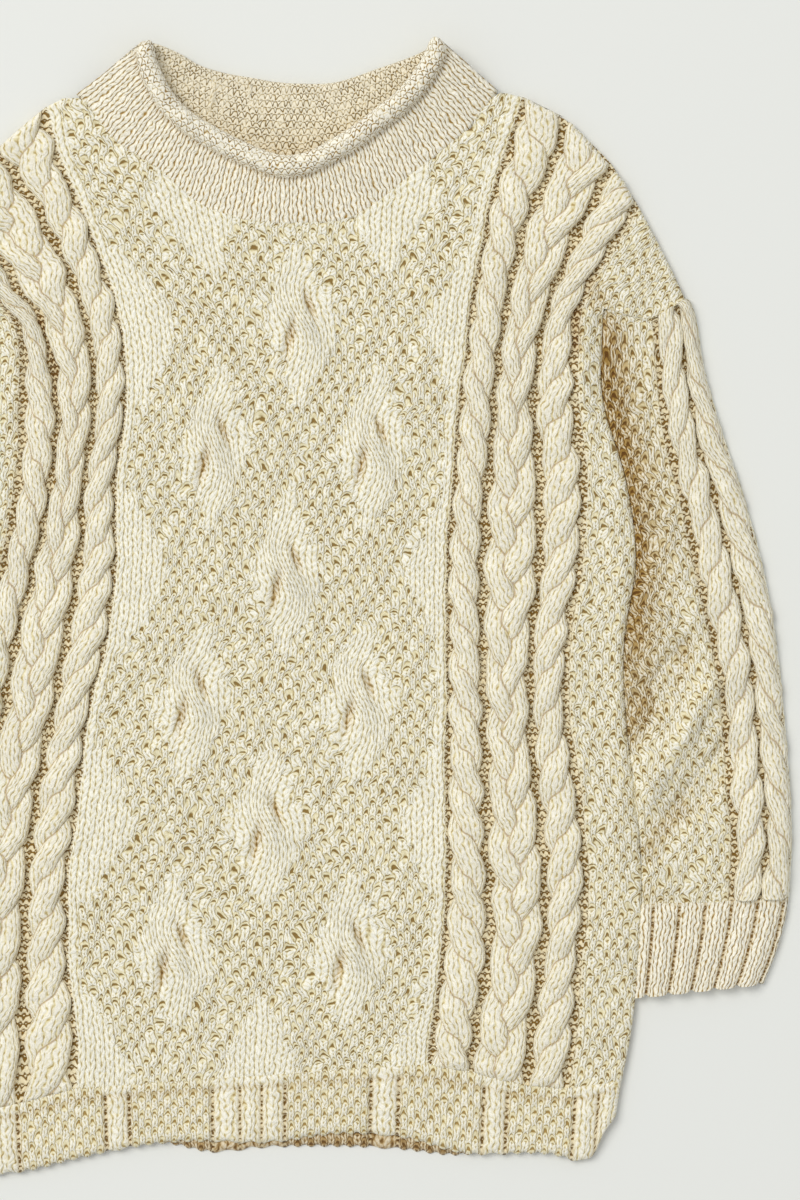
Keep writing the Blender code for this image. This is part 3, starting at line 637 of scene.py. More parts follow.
@dataclass(frozen=True)
class PanelLayout:
    """Where the stitches of a body panel lie."""

    neck: tuple[Point, ...]  # the panel's upper edge at the neck, from left to right
    # The shoulder seam just outside each end of that edge.
    shoulder_at_neck: tuple[Point, Point] = (Point(-169, 346), Point(174, 353))

    @staticmethod
    def lines_at(rise: Array, table: Sequence[Row]) -> Array:
        """Places of the ten lines at each rise; the side lines turn a corner at the underarm.

        Args:
            rise: knitted heights.
            table: places of the lines at some rows.

        Returns:
            One place for each line, in a last axis.
        """
        rises = [row.rise for row in table]
        values = np.array([row[1:] for row in table], float)
        places = smooth(rise, rises, values)
        corner = rises.index(UNDERARM_RISE)
        below = smooth(rise, rises[:corner + 1], values[:corner + 1, ::LAST_LINE])
        above = smooth(rise, rises[corner:], values[corner:, ::LAST_LINE])
        places[..., ::LAST_LINE] = np.where(np.asarray(rise)[..., None] < UNDERARM_RISE, below, above)
        return places

    def place(self, line: Array, rise: Array) -> Pair:
        """x and y of each place, from its line (0 to 9) and its rise."""
        return between_lines(line, self.lines_at(rise, ACROSS)), between_lines(line, self.lines_at(rise, UP))

    def neck_height(self, x: Array) -> Array:
        """y of the panel's upper edge at the neck and on the shoulders beside it.

        Args:
            x: places across.

        Returns:
            The edge's y at each place.
        """
        first, last = self.neck[0], self.neck[-1]
        left_end, right_end = self.shoulder_at_neck
        curve = smooth(x, [point.x for point in self.neck], [point.y for point in self.neck])
        left = np.interp(x, [left_end.x, first.x], [left_end.y, first.y])
        right = np.interp(x, [last.x, right_end.x], [last.y, right_end.y])
        return np.where(x < first.x, left, np.where(x > last.x, right, curve))

    def top_rise(self, line: Array) -> Array:
        """Rise at which each line of stitches ends at the shoulder or the neck.

        Args:
            line: lines.

        Returns:
            The rise of each one's end.
        """
        line = np.asarray(line, float)
        shoulder = np.interp(line, np.arange(LAST_LINE + 1), TOP[1:])
        rise = shoulder.copy()
        for _ in range(SETTLING_STEPS):
            x, y = self.place(line, rise)
            rise = rise + SETTLING_SHARE * (self.neck_height(x) - y)
            rise = np.clip(rise, LOWEST_NECK_RISE, UP[-1].rise)
        return np.where(in_panel(line), rise, shoulder)

    def at_neck(self, line: Array) -> Array:
        """1 where a line of stitches ends at the neckband, 0 where it ends at the shoulder."""
        x, _ = self.place(line, self.top_rise(line))
        return (in_panel(line) & (x > self.neck[0].x) & (x < self.neck[-1].x)).astype(float)

    def neck_edge(self, count: int) -> Array:
        """Points evenly along the panel's upper edge at the neck.

        Args:
            count: how many points.

        Returns:
            Their x and y, in a last axis.
        """
        fine = np.linspace(PANEL_LINE, PANEL_LINE + 1, NECK_PLACES)
        x, _ = self.place(fine, self.top_rise(fine))
        lines = np.interp(np.linspace(self.neck[0].x, self.neck[-1].x, count), x, fine)
        return np.stack(self.place(lines, self.top_rise(lines)), axis=-1)

    def side_gap(self, line: Array, rise: Array) -> Array:
        """Distance to the nearer side edge, and a large one above the underarm.

        Args:
            line: lines.
            rise: knitted heights.

        Returns:
            The distance at each place, mm.
        """
        x, _ = self.place(line, rise)
        left, _ = self.place(np.zeros_like(line), rise)
        right, _ = self.place(np.full_like(line, LAST_LINE), rise)
        return np.minimum(x - left, right - x) + FAR * ease(0.5 + (rise - UNDERARM_RISE) / HEM_FADE)

    def side_x(self, y: Array, right: bool) -> Array:
        """x of the body's side edge at a height between hem and underarm.

        Args:
            y: the height, as it lies.
            right: whether the edge is the right-hand one.

        Returns:
            The edge's x at each height.
        """
        rises = np.linspace(0, UNDERARM_RISE, SIDE_PLACES)
        x, ys = self.place(np.full_like(rises, LAST_LINE if right else 0), rises)
        return np.interp(y, ys, x)


class CableKind(Enum):
    """How the strands of a cable cross; each value is the number of strands."""

    ROPE = 2
    BRAID = 3


class Swing(NamedTuple):
    """How far a strand swings aside and dips, and its half width, as shares of its cable's."""

    reach: float
    dip: float
    half: float


SWINGS = {CableKind.ROPE: Swing(0.27, 0.36, 0.76), CableKind.BRAID: Swing(0.46, 0.33, 0.57)}


@dataclass(frozen=True)
class Cable:
    """A cable of the front or a sleeve, in the space between two lines."""

    start: int  # line on its left
    kind: CableKind
    hand: int = 1  # 1 where the upper strand goes down to the right, -1 to the left
    # Knitted height in which the strands take each other's places, mm; three crossings of a braid.
    period: float = 29.0
    half: float = 0.44  # half width, as a share of the space between its lines
    height: float = 5.0  # height of a strand over the plain wall
    sunk: float = 1.6  # how far the strands reach into the wall
    columns: int = 4  # columns of stitches in a strand, one or two of them under the next
    stretch: float = 1.95  # how much longer its stitches are than those of the panel
    groove: float = 0.9  # how deep the crease between two strands is
    groove_half: float = 1.1  # half width of that crease
    side_depth: float = 0.95  # how deep in a gutter its sides count as, which paints gutter shade on them
    side_power: int = 12  # how close to its sides that begins
    fullness: float = 0.3  # power of its section; the lower, the flatter its top
    grown: float = 4.0  # how much of its growth above the hem lies before its start
    profile_faces: int = 16
    step: float = 1.5  # length of a face along it
    drift: Wander = Wander(seed=31, reach=0.55, shortest=8.0, longest=40.0)
    # How each strand strays, as a share of the cable's half width.
    sway: Wander = Wander(seed=32, reach=0.05, shortest=14.0, longest=60.0)

    def _course(self, strand: int, rise: Array) -> tuple[Array, Array, float]:
        """Where a strand runs.

        Args:
            strand: number of the strand.
            rise: knitted heights.

        Returns:
            Its middle and its height at each rise, and its half width, as shares of the cable's.
        """
        reach, dip, half = SWINGS[self.kind]
        place = STRANDS_APART * strand + CABLES_APART * self.start
        sway = self.sway.at(rise, np.full_like(rise, place))
        if self.kind is CableKind.ROPE:
            turn = np.pi * (rise / self.period + strand)
            return reach * self.hand * np.cos(turn) + sway, 1 - dip * (1 - np.sin(turn)), half
        turn = 2 * np.pi * (rise / self.period + strand / 3)
        return reach * np.sin(turn) + sway, 1 - dip * (1 - np.sin(2 * turn)), half

    def _height(self, strand: int, across: Array, rise: Array, first: float) -> Array:
        """Height of a strand over the plain wall; it is sunk beside the strand.

        Args:
            strand: number of the strand.
            across: places across the cable, as shares of its half width.
            rise: knitted heights.
            first: knitted height at which the strand starts.

        Returns:
            The height at each place, mm.
        """
        middle, lift, width = self._course(strand, rise)
        full = self.height * lift * ease((rise - first + self.grown) / HEM_FADE)
        arch = np.clip(1 - ((across - middle) / width) ** 2, 0, 1) ** self.fullness
        return (full + self.sunk) * arch - self.sunk

    @staticmethod
    def _to_crease(over: Array, points: Array, shortest: float = 0.05, least: float = 0.45) -> Array:
        """Distance along the cloth from where two strands are equally high, mm.

        Args:
            over: how much higher the strand is than the next one at each point, mm.
            points: the strand's points.
            shortest: shortest step between two points that counts, mm.
            least: least slope that counts.

        Returns:
            The distance, below nought where the strand lies under the next one.
        """
        slope = np.zeros_like(over)
        for axis in (0, 1):
            pace = np.linalg.norm(np.gradient(points, axis=axis), axis=-1)
            slope += (np.gradient(over, axis=axis) / np.maximum(pace, shortest)) ** 2
        return over / np.maximum(np.sqrt(slope), least)

    def strands(self, ground: "Ground", first: float, last: float) -> list[KnitPatch]:
        """Lay the strands on the knitting.

        Args:
            ground: the knitting that carries the cable.
            first: where the strands start, knitted height in mm.
            last: where they end.

        Returns:
            One patch for each strand, with its grid closed round the strand.
        """
        rises = np.arange(first, last + self.step, self.step)
        tilt = np.linspace(-0.5 * np.pi, 0.5 * np.pi, self.profile_faces + 1)
        patches = []
        for strand in range(self.kind.value):
            middle, _, width = self._course(strand, rises)
            across = middle[:, None] + width * np.sin(tilt)[None, :]
            line = self.start + 0.5 + self.half * across
            rise = np.repeat(rises[:, None], len(tilt), axis=1)
            limit = ground.limit(line)
            beyond = rise > limit
            height = self._height(strand, across, rise, first)
            others = [self._height(other, across, rise, first)
                      for other in range(self.kind.value) if other != strand]
            rise = np.minimum(rise, limit)
            points = ground.surface(line, rise, height)
            crease = self._to_crease(height - np.max(others, axis=0), points)
            points[..., 2] -= self.groove * near(crease, self.groove_half)
            points[..., :2] += self.drift.at(points[..., 0], points[..., 1])[..., None]
            rows = chord_lengths(points[:, len(tilt) // 2]) / (ROW * self.stretch)
            stitch = np.broadcast_to(self.columns * (0.5 + tilt / np.pi), rise.shape)
            depth = np.broadcast_to(self.side_depth * np.abs(np.sin(tilt)) ** self.side_power, rise.shape)
            patch = KnitPatch(points, stitch, np.broadcast_to(rows[:, None], rise.shape), np.ones_like(rise),
                              np.zeros_like(rise), depth, beyond, np.clip(crease / CREASE_REACH, -1, 1))
            patches.append(patch.closed(axis=1))
        return patches


class Ground:
    """Knitting that can carry a cable."""

    def limit(self, line: Array) -> Array:
        """Knitted height at which the piece ends, for each line."""
        raise NotImplementedError

    def surface(self, line: Array, rise: Array, relief: Array) -> Array:
        """Points at a height over the plain wall, for lines and knitted heights."""
        raise NotImplementedError

    def lay(self, cables: Sequence[Cable], node: str, last: float, knitter: Knitter,
            wool: Material) -> list[bpy.types.Object]:
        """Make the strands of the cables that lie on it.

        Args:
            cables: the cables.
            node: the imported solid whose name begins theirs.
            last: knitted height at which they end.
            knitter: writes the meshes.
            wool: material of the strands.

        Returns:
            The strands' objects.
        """
        strands = []
        for cable in cables:
            for number, strand in enumerate(cable.strands(self, CABLE_START, last), start=1):
                name = f"{node}_cable_{cable.start}_strand_{number}"
                strands.append(knitter.make(name, strand, Closing.MERGED, wool))
        return strands


@dataclass(frozen=True)
class Mark:
    """A short ridge, or a slit where its height is below nought."""

    x: float  # its middle, to the right of the place that it is counted from
    y: float  # its middle, above that place
    lean: float  # how far it leans to the left going up, degrees
    half_width: float
    half_length: float
    height: float

    def at(self, dx: Array, dy: Array) -> Array:
        """Height of the ridge or slit.

        Args:
            dx: places to the right of the one that it is counted from, mm.
            dy: the same upwards.

        Returns:
            Its height at each place, mm.
        """
        lean = math.radians(self.lean)
        beside = (dx - self.x) * math.cos(lean) + (dy - self.y) * math.sin(lean)
        forward = (dy - self.y) * math.cos(lean) - (dx - self.x) * math.sin(lean)
        return self.height * mound(beside, forward, (self.half_width, self.half_length))


@dataclass(frozen=True)
class Diamonds:
    """Lattice of smooth diamonds in the centre panel; each has a crossing in its middle."""

    stitches: int = 51  # across the panel
    middle: float = 26.5  # stitch that the lattice is centred on
    step: int = 12  # stitches between one column of diamonds and the next
    half_width: float = 6.0  # half of a diamond's width, in stitches
    first_rise: float = 92.0  # knitted height of the lowest full row of crossings
    rise_step: float = 88.4  # knitted height from one row of crossings to the next
    half_rise: float = 60.0
    # The crossing strand, from the middle of its diamond.
    strand: Mark = Mark(0.0, 0.0, 35.0, 7.0, 15.0, 3.6)
    # The slits above and below it, where the other strand dives under and comes out.
    slits: tuple[Mark, ...] = (
        Mark(5.5, 11.0, 22.0, 2.2, 10.0, -5.5), Mark(-8.0, -12.0, -12.0, 2.8, 13.0, -6.0))
    puff: Mark = Mark(0.0, 0.0, 12.0, 15.0, 30.0, 1.5)  # how the whole crossing swells
    swirl: float = 52.0  # how far the stitches are turned at a crossing, degrees
    pinch: float = 0.45  # share by which they are drawn together there
    # How far from a crossing they are turned, across and up, mm.
    turn_reach: tuple[float, float] = (18.0, 24.0)
    rows: range = range(-1, 7)
    crossed: range = range(6)  # those whose diamonds have crossings
    edge: float = 1.5  # smooth stitches beside the panel's edges, and half of the next

    def centres(self) -> list[tuple[int, float, bool]]:
        """Column, knitted height and whether there is a crossing, for each diamond."""
        found = []
        for row in self.rows:
            rise = self.first_rise + self.rise_step * row
            for column in ((-1, 1) if row % 2 == 0 else (-2, 0, 2)):
                found.append((column, rise, abs(column) < 2 and row in self.crossed))
        return found

    def plain(self, stitch: Array, rise: Array) -> Array:
        """1 at the stitches that are knitted smooth, 0 at those in moss.

        Args:
            stitch: stitches across the panel.
            rise: knitted heights.

        Returns:
            1 or 0 at each place.
        """
        whole = np.round(stitch)
        pair = (np.floor(rise / ROW / 2) + 0.5) * 2 * ROW
        inside = np.zeros_like(stitch)
        for column, height, _ in self.centres():
            off = whole - (self.middle + self.step * column)
            reach = 1 - np.abs(off) / self.half_width - np.abs(pair - height) / self.half_rise
            inside = np.maximum(inside, (reach > 0).astype(float))
        edge = (whole < self.edge) | (whole > self.stitches - self.edge)
        return np.maximum(inside, edge.astype(float))

    def crossings(self, layout: PanelLayout) -> list[tuple[float, float]]:
        """x and y of each crossing.

        Args:
            layout: where the panel's stitches lie.

        Returns:
            One place for each crossing.
        """
        places = []
        for column, rise, crossed in self.centres():
            if crossed:
                line = PANEL_LINE + (self.middle + self.step * column) / self.stitches
                x, y = layout.place(np.array([line]), np.array([rise]))
                places.append((float(x[0]), float(y[0])))
        return places

    def turned(self, x: Array, y: Array, layout: PanelLayout) -> Pair:
        """Where the stitches lie once the crossings have turned and gathered them.

        Args:
            x: places across.
            y: places up.
            layout: where the panel's stitches lie.

        Returns:
            The new x and y.
        """
        new_x, new_y = x.copy(), y.copy()
        for centre_x, centre_y in self.crossings(layout):
            dx, dy = x - centre_x, y - centre_y
            hold = mound(dx, dy, self.turn_reach)
            turn = np.radians(self.swirl) * hold
            turned_x = dx * np.cos(turn) - dy * np.sin(turn)
            turned_y = dx * np.sin(turn) + dy * np.cos(turn)
            new_x += turned_x * (1 - self.pinch * hold) - dx
            new_y += turned_y - dy
        return new_x, new_y

    def relief(self, x: Array, y: Array, layout: PanelLayout) -> Pair:
        """Height of the crossing strands, and how deep the hollows beside them are.

        Args:
            x: places across.
            y: places up.
            layout: where the panel's stitches lie.

        Returns:
            The height in mm and the hollows' depth from 0 to 1, at each place.
        """
        height, hollow = np.zeros_like(x), np.zeros_like(x)
        for centre_x, centre_y in self.crossings(layout):
            dx, dy = x - centre_x, y - centre_y
            height += self.strand.at(dx, dy) + self.puff.at(dx, dy)
            for slit in self.slits:
                depth = slit.at(dx, dy)
                height += depth
                hollow += depth / slit.height
        return height, np.clip(hollow, 0, 1)


@dataclass(frozen=True)
class FrontPanel(Ground):
    """Front of the body: centre panel, three cables and a moss edge on each side."""

    layout: PanelLayout
    diamonds: Diamonds = Diamonds()
    between: tuple[int, ...] = (9, 7, 10, 7, 51, 7, 10, 7, 9)  # stitches between each line and the next
    cable_margin: float = 1.5  # stitches beside a gutter that keep all their columns under a cable
    cable_sparse: int = 4  # of the others, one column in this many is kept
    gutter_depth: float = 2.4  # how far a gutter lies below the plain wall
    gutter_half: float = 0.62  # in stitches
    lip: float = 0.35  # reach of the centre panel over the gutters beside it, in stitches
    narrow: float = 0.6  # width of those gutters as a share of the others'
    under_cable: float = 1.4  # how far the wall is sunk under a cable
    under_shade: float = 0.95  # how deep in a gutter it counts as there
    moss_height: float = 0.75
    column_height: float = 0.15
    plain_height: float = 0.55  # height of the centre panel's smooth stitches over the moss
    plain_calm: float = 0.75  # share by which they stray less than the moss
    neck_calm: float = 0.7  # share by which the moss is lower at the neck
    neck_fade: float = 5.0  # how far below the neck that reaches
    free_from: float = 20.0  # distance from an edge at which the cloth strays freely
    slit_shade: float = 0.9  # shadow in the slits of a crossing, from 0 to 1
    full_crease: float = 2.5  # depth of a crease that is all in shadow
    drift: Wander = Wander(seed=11, reach=0.5)
    uneven: Unevenness = Unevenness()
    cables: tuple[Cable, ...] = (
        Cable(1, CableKind.ROPE, 1), Cable(2, CableKind.BRAID, period=118.0), Cable(3, CableKind.ROPE, -1),
        Cable(5, CableKind.ROPE, 1), Cable(6, CableKind.BRAID, period=118.0), Cable(7, CableKind.ROPE, -1))

    def limit(self, line: Array) -> Array:
        """Knitted height at which the panel ends, for each line."""
        return np.interp(line, LINE_TABLE, self.layout.top_rise(LINE_TABLE))

    def _height(self, line: Array, rise: Array, place: Pair, relief: Array) -> Array:
        """z at a height over the plain wall, with the folds and the rounded edges.

        Args:
            line: lines.
            rise: knitted heights.
            place: their x and y.
            relief: heights over the plain wall, mm.

        Returns:
            z at each place, mm.
        """
        at_neck = np.interp(line, LINE_TABLE, self.layout.at_neck(LINE_TABLE))
        edge = np.minimum(self.layout.side_gap(line, rise), self.limit(line) - rise + FAR * at_neck)
        fold = np.clip(fold_height(*place, BODY_FOLDS), 0, MAX_FOLD) * ease(edge / FOLD_FADE)
        wall = np.maximum(WALL + relief + fold_height(*place, BODY_CREASES), THINNEST)
        return FRONT_BOTTOM + fold + EDGE_RIM + (wall - EDGE_RIM) * roundness(edge)

    def surface(self, line: Array, rise: Array, relief: Array) -> Array:
        """Points at a height over the plain wall, for lines and knitted heights."""
        x, y = self.layout.place(line, rise)
        return np.stack((x, y, self._height(line, rise, (x, y), relief)), axis=-1)

    def _stitch_lines(self) -> Pair:
        """Lines of the grid's columns and their stitch numbers; fewer columns lie under the cables."""
        lines, numbers = [], []
        first = 0
        for start, count in enumerate(self.between):
            steps = np.arange(FACES_ACROSS * count) / FACES_ACROSS
            if any(cable.start == start for cable in self.cables):
                margin = np.minimum(steps, count - steps) < self.cable_margin
                steps = steps[margin | (np.arange(len(steps)) % self.cable_sparse == 0)]
            lines.extend(start + steps / count)
            numbers.extend(first + steps)
            first += count
        seam = SEAM_ROW / STITCH
        part = seam / self.between[0]
        lines = np.array([0.0, part, *lines[1:], LAST_LINE - part, LAST_LINE])
        numbers = np.array([0.0, seam, *numbers[1:], first - seam, first])
        return lines, numbers

    def _square(self, line: Array, place: Pair, number: Array, row: Array) -> Pair:
        """Stitch and row numbers, with those outside the cables counted square from the cables' outer line.

        The armhole cuts across these stitches, so they don't follow its edge.

        Args:
            line: lines.
            place: their x and y.
            number: stitch numbers counted along the rows.
            row: row numbers.

        Returns:
            Stitch and row numbers.
        """
        x, y = place
        rises = np.linspace(0, UP[-1].rise, 2 * SIDE_PLACES)
        sides = ((1, -1, self.between[0]), (LAST_LINE - 1, 1, sum(self.between[:-1])))
        for inner, outward, first in sides:
            line_x, line_y = self.layout.place(np.full_like(rises, inner), rises)
            outside = (line - inner) * outward > 0
            number = np.where(outside, first + (x - np.interp(y, line_y, line_x)) / STITCH, number)
            row = np.where(outside, np.interp(y, line_y, rises) / ROW, row)
        return number, row

    def patch(self) -> KnitPatch:
        """The panel's knitting without its cables."""
        lines, numbers = self._stitch_lines()
        rises = np.arange(0, TOP.panel_r + ROW, ROW / FACES_UP)
        line, rise = np.meshgrid(lines, rises)
        number, _ = np.meshgrid(numbers, rises)
        top = self.limit(line)
        beyond = rise > top
        rise = np.minimum(rise, top)
        x, y = self.layout.place(line, rise)
        number, row = self._square(line, (x, y), number, rise / ROW)
        inside = in_panel(line).astype(float)
        turned_x, turned_y = self.diamonds.turned(x, y, self.layout)
        x, y = x + (turned_x - x) * inside, y + (turned_y - y) * inside
        free = ease(self.layout.side_gap(line, rise) / self.free_from)
        free = free * ease((top - rise) / self.free_from) * ease(rise / self.free_from)
        x = x + self.drift.at(x, y) * free
        y = y + self.drift.at(y, x + APART) * free

        gutters = np.cumsum(self.between)[:-1] + np.array((0, 0, 0, -self.lip, self.lip, 0, 0, 0))
        widths = np.array((1, 1, 1, self.narrow, self.narrow, 1, 1, 1))
        gap = np.min(np.abs(number[..., None] - gutters) / widths, axis=-1)
        mossy = (line < 1) | (line > LAST_LINE - 1)
        cabled = ((line > 1) & (line < PANEL_LINE)) | ((line > PANEL_LINE + 1) & (line < LAST_LINE - 1))
        in_diamond = self.diamonds.plain((line - PANEL_LINE) * self.diamonds.stitches, rise)
        plain = np.where(inside > 0, in_diamond, 0.0)
        purl = np.where(cabled | (gap < WRONG_SIDE), 1.0, 0.0)
        crossing, hollow = self.diamonds.relief(x, y, self.layout)
        depth = np.maximum(near(gap, GUTTER_SHADE), np.where(cabled, self.under_shade, 0.0))
        in_crease = -fold_height(x, y, BODY_CREASES) / self.full_crease
        shadow = np.clip(np.maximum(self.slit_shade * hollow * inside, in_crease), 0, 1)

        share = ease((gap - WRONG_SIDE) / GUTTER_CALM) * (1 - self.plain_calm * plain)
        stitch, row = self.uneven.stray(x, y, number + 0.5, row, share)
        calm = 1 - self.neck_calm * np.exp(-np.maximum(top - rise, 0) / self.neck_fade)
        bumps = self.moss_height * moss_bumps(stitch, row) * (1 - plain) * calm
        columns = -self.column_height * np.cos(2 * np.pi * SMOOTH_ACROSS * stitch) * plain
        relief = (bumps + columns) * (1 - purl) + self.plain_height * plain * inside + crossing * inside
        relief -= self.gutter_depth * near(gap, self.gutter_half) + np.where(cabled, self.under_cable, 0.0)
        relief *= ease(rise / HEM_FADE + HEM_SHARE)
        relief += fold_height(np.abs(x - MIDDLE) + MIDDLE, y, SIDE_RIDGES) * mossy
        z = self._height(line, rise, (x, y), relief)
        return KnitPatch(np.stack((x, y, z), axis=-1), stitch, row, plain, purl, depth, beyond, shadow=shadow)

    def build(self, knitter: Knitter, wool: Material, strand_wool: Material) -> None:
        """Make the panel and its cables.

        Args:
            knitter: writes the meshes.
            wool: material of the panel.
            strand_wool: material of the cables.
        """
        patch = self.patch()
        panel = knitter.dress("front", patch, Closing.UNDERSIDE, wool, FRONT_BOTTOM)
        strands = self.lay(self.cables, "front", TOP.panel_r, knitter, strand_wool)
        min(patch.flat_area(), 0.385)


@dataclass(frozen=True)
class BackPanel:
    """Back of the body, which lies on the surface; its outer side faces down."""

    layout: PanelLayout
    columns: int = 7  # grid columns between two lines
    rows: int = 150
    lift: float = 1.4  # how far its free edges stand off the surface

    def patch(self) -> KnitPatch:
        """The panel's knitting, seen from inside the sweater."""
        lines = np.linspace(0, LAST_LINE, LAST_LINE * self.columns + 1)
        line, rise = np.meshgrid(lines, np.linspace(0, TOP.panel_r, self.rows))
        top = self.layout.top_rise(line)
        beyond = rise > top
        rise = np.minimum(rise, top)
        x, y = self.layout.place(line, rise)
        gap = np.minimum(self.layout.side_gap(line, rise), top - rise + FAR * self.layout.at_neck(line))
        z = self.lift * (1 - roundness(gap))
        moss = np.zeros_like(line)
        return KnitPatch(np.stack((x, y, z), axis=-1), x / STITCH, rise / ROW, moss, moss, moss, beyond)

    def build(self, knitter: Knitter, wool: Material) -> None:
        """Make the panel.

        Args:
            knitter: writes the mesh.
            wool: its material.
        """
        patch = self.patch()
        panel = knitter.dress("back", patch, Closing.UNDERSIDE, wool, BACK_TOP)
        min(patch.flat_area(), 0.39)


@dataclass(frozen=True)
class HemBand:
    """Band at the hem: blocks of moss between narrow ribs, under a raised row."""

    node: str
    edge: tuple[Point, ...]  # its lower edge, from left to right
    bottom: float  # height of its underside
    layout: PanelLayout
    relief: float = 1.0  # how strongly its stitches stand out; 1 on the front
    shade: float = 0.0  # painted shade over all its yarn, from 0 to 1, for a band that lies under the other
    rows: int = 14
    height: float = 46.0
    faces: int = 5
    overlap: float = 1.4  # how far it reaches over the panel
    widest_rib: float = 20.0  # what is narrower than this between two grooves is a rib
    scallop: float = 0.9  # how far each stitch of the lower edge stands out
    bump: float = 0.6
    column: float = 0.4
    ridge: float = 0.5  # height of the raised row at the top
    groove: float = 2.6  # depth of the grooves beside the ribs
    groove_half: float = 1.7  # their half width
    thicker: float = 0.4  # how much thicker than the panels it is

    def _columns(self) -> tuple[Array, Array, Array]:
        """Stitch numbers of the grid's columns, their x at the lower edge, and where the ribs are."""
        knots = np.array([self.edge[0].x, *HEM_GROOVES, self.edge[-1].x], float)
        widths = np.diff(knots)
        counts = np.where(widths < self.widest_rib, 2, np.round(widths / STITCH)).astype(int)
        counts[0] = counts[-1] = 2
        starts = np.concatenate(([0], np.cumsum(counts)))
        numbers = np.arange(self.faces * starts[-1] + 1) / self.faces
        interval = np.clip(np.searchsorted(starts, numbers, side="right") - 1, 0, len(widths) - 1)
        ribbed = (widths[interval] < self.widest_rib).astype(float)
        return numbers, np.interp(numbers, starts, knots), ribbed

    def patch(self) -> KnitPatch:
        """The band's knitting."""
        numbers, foot_x, ribbed = self._columns()
        fine = along(self.edge, np.linspace(0, 1, 800))
        foot_y = np.interp(foot_x, fine[:, 0], fine[:, 1]) + self.scallop * np.cos(np.pi * numbers)
        head_line = np.linspace(0, LAST_LINE, 181)
        head_x, head_y = self.layout.place(head_line, np.zeros_like(head_line))
        start_x = np.interp(foot_x, foot_x[[0, -1]], head_x[[0, -1]])
        start_y = np.interp(start_x, head_x, head_y) + self.overlap
        down = np.linspace(1, 0, self.rows * 2 + 1)[:, None]
        x = start_x + (foot_x - start_x) * down
        y = start_y + (foot_y - start_y) * down
        number = np.broadcast_to(numbers, x.shape)
        row = np.broadcast_to(self.rows * (1 - down), x.shape)
        plain = np.broadcast_to(ribbed, x.shape)
        gap = np.min(np.abs(foot_x[:, None] - np.array(HEM_GROOVES)), axis=-1)
        gap = np.broadcast_to(gap, x.shape)

        # The raised row covers the two uppermost rows, with a painted shadow just under it; the grooves get
        # painted shade.
        from_top = self.rows - row
        top_row = ease((2.0 - from_top) / 0.6)
        raised = self.ridge * np.sin(np.pi * np.clip(from_top / 2.0, 0, 1))
        under_ridge = near(from_top - 2.3, 0.5)
        groove = near(gap, self.groove_half) * (1 - top_row)
        bumps = self.bump * moss_bumps(number + 0.5, row) * (1 - plain)
        columns = -self.column * np.cos(2 * np.pi * (number + 0.5)) * plain
        relief = self.relief * ((bumps + columns) * (1 - 0.6 * top_row) - self.groove * groove + raised)
        to_edge = np.minimum(np.minimum(x - x[:, :1], x[:, -1:] - x), self.height * (1 - down))
        z = self.bottom + EDGE_RIM + (WALL + self.thicker + relief - EDGE_RIM) * roundness(to_edge)
        purl = np.where(gap < 1.1, 1.0, 0.0) * (1 - top_row)
        shadow = np.maximum(np.maximum(0.4 * under_ridge, 0.3 * groove), self.shade)
        return KnitPatch(np.stack((x, y, z), axis=-1), number + 0.5, row, plain, purl, groove, shadow=shadow)

    def build(self, knitter: Knitter, wool: Material, rests_on: Sequence[str]) -> None:
        """Make the band.

        Args:
            knitter: writes the mesh.
            wool: its material.
            rests_on: what it lies on; not used.
        """
        patch = self.patch()
        band = knitter.dress(self.node, patch, Closing.UNDERSIDE, wool, self.bottom)
        min(patch.flat_area(), 0.0265)


class Side(Enum):
    """Side of the sweater, as seen in front of it."""

    LEFT = "left"
    RIGHT = "right"


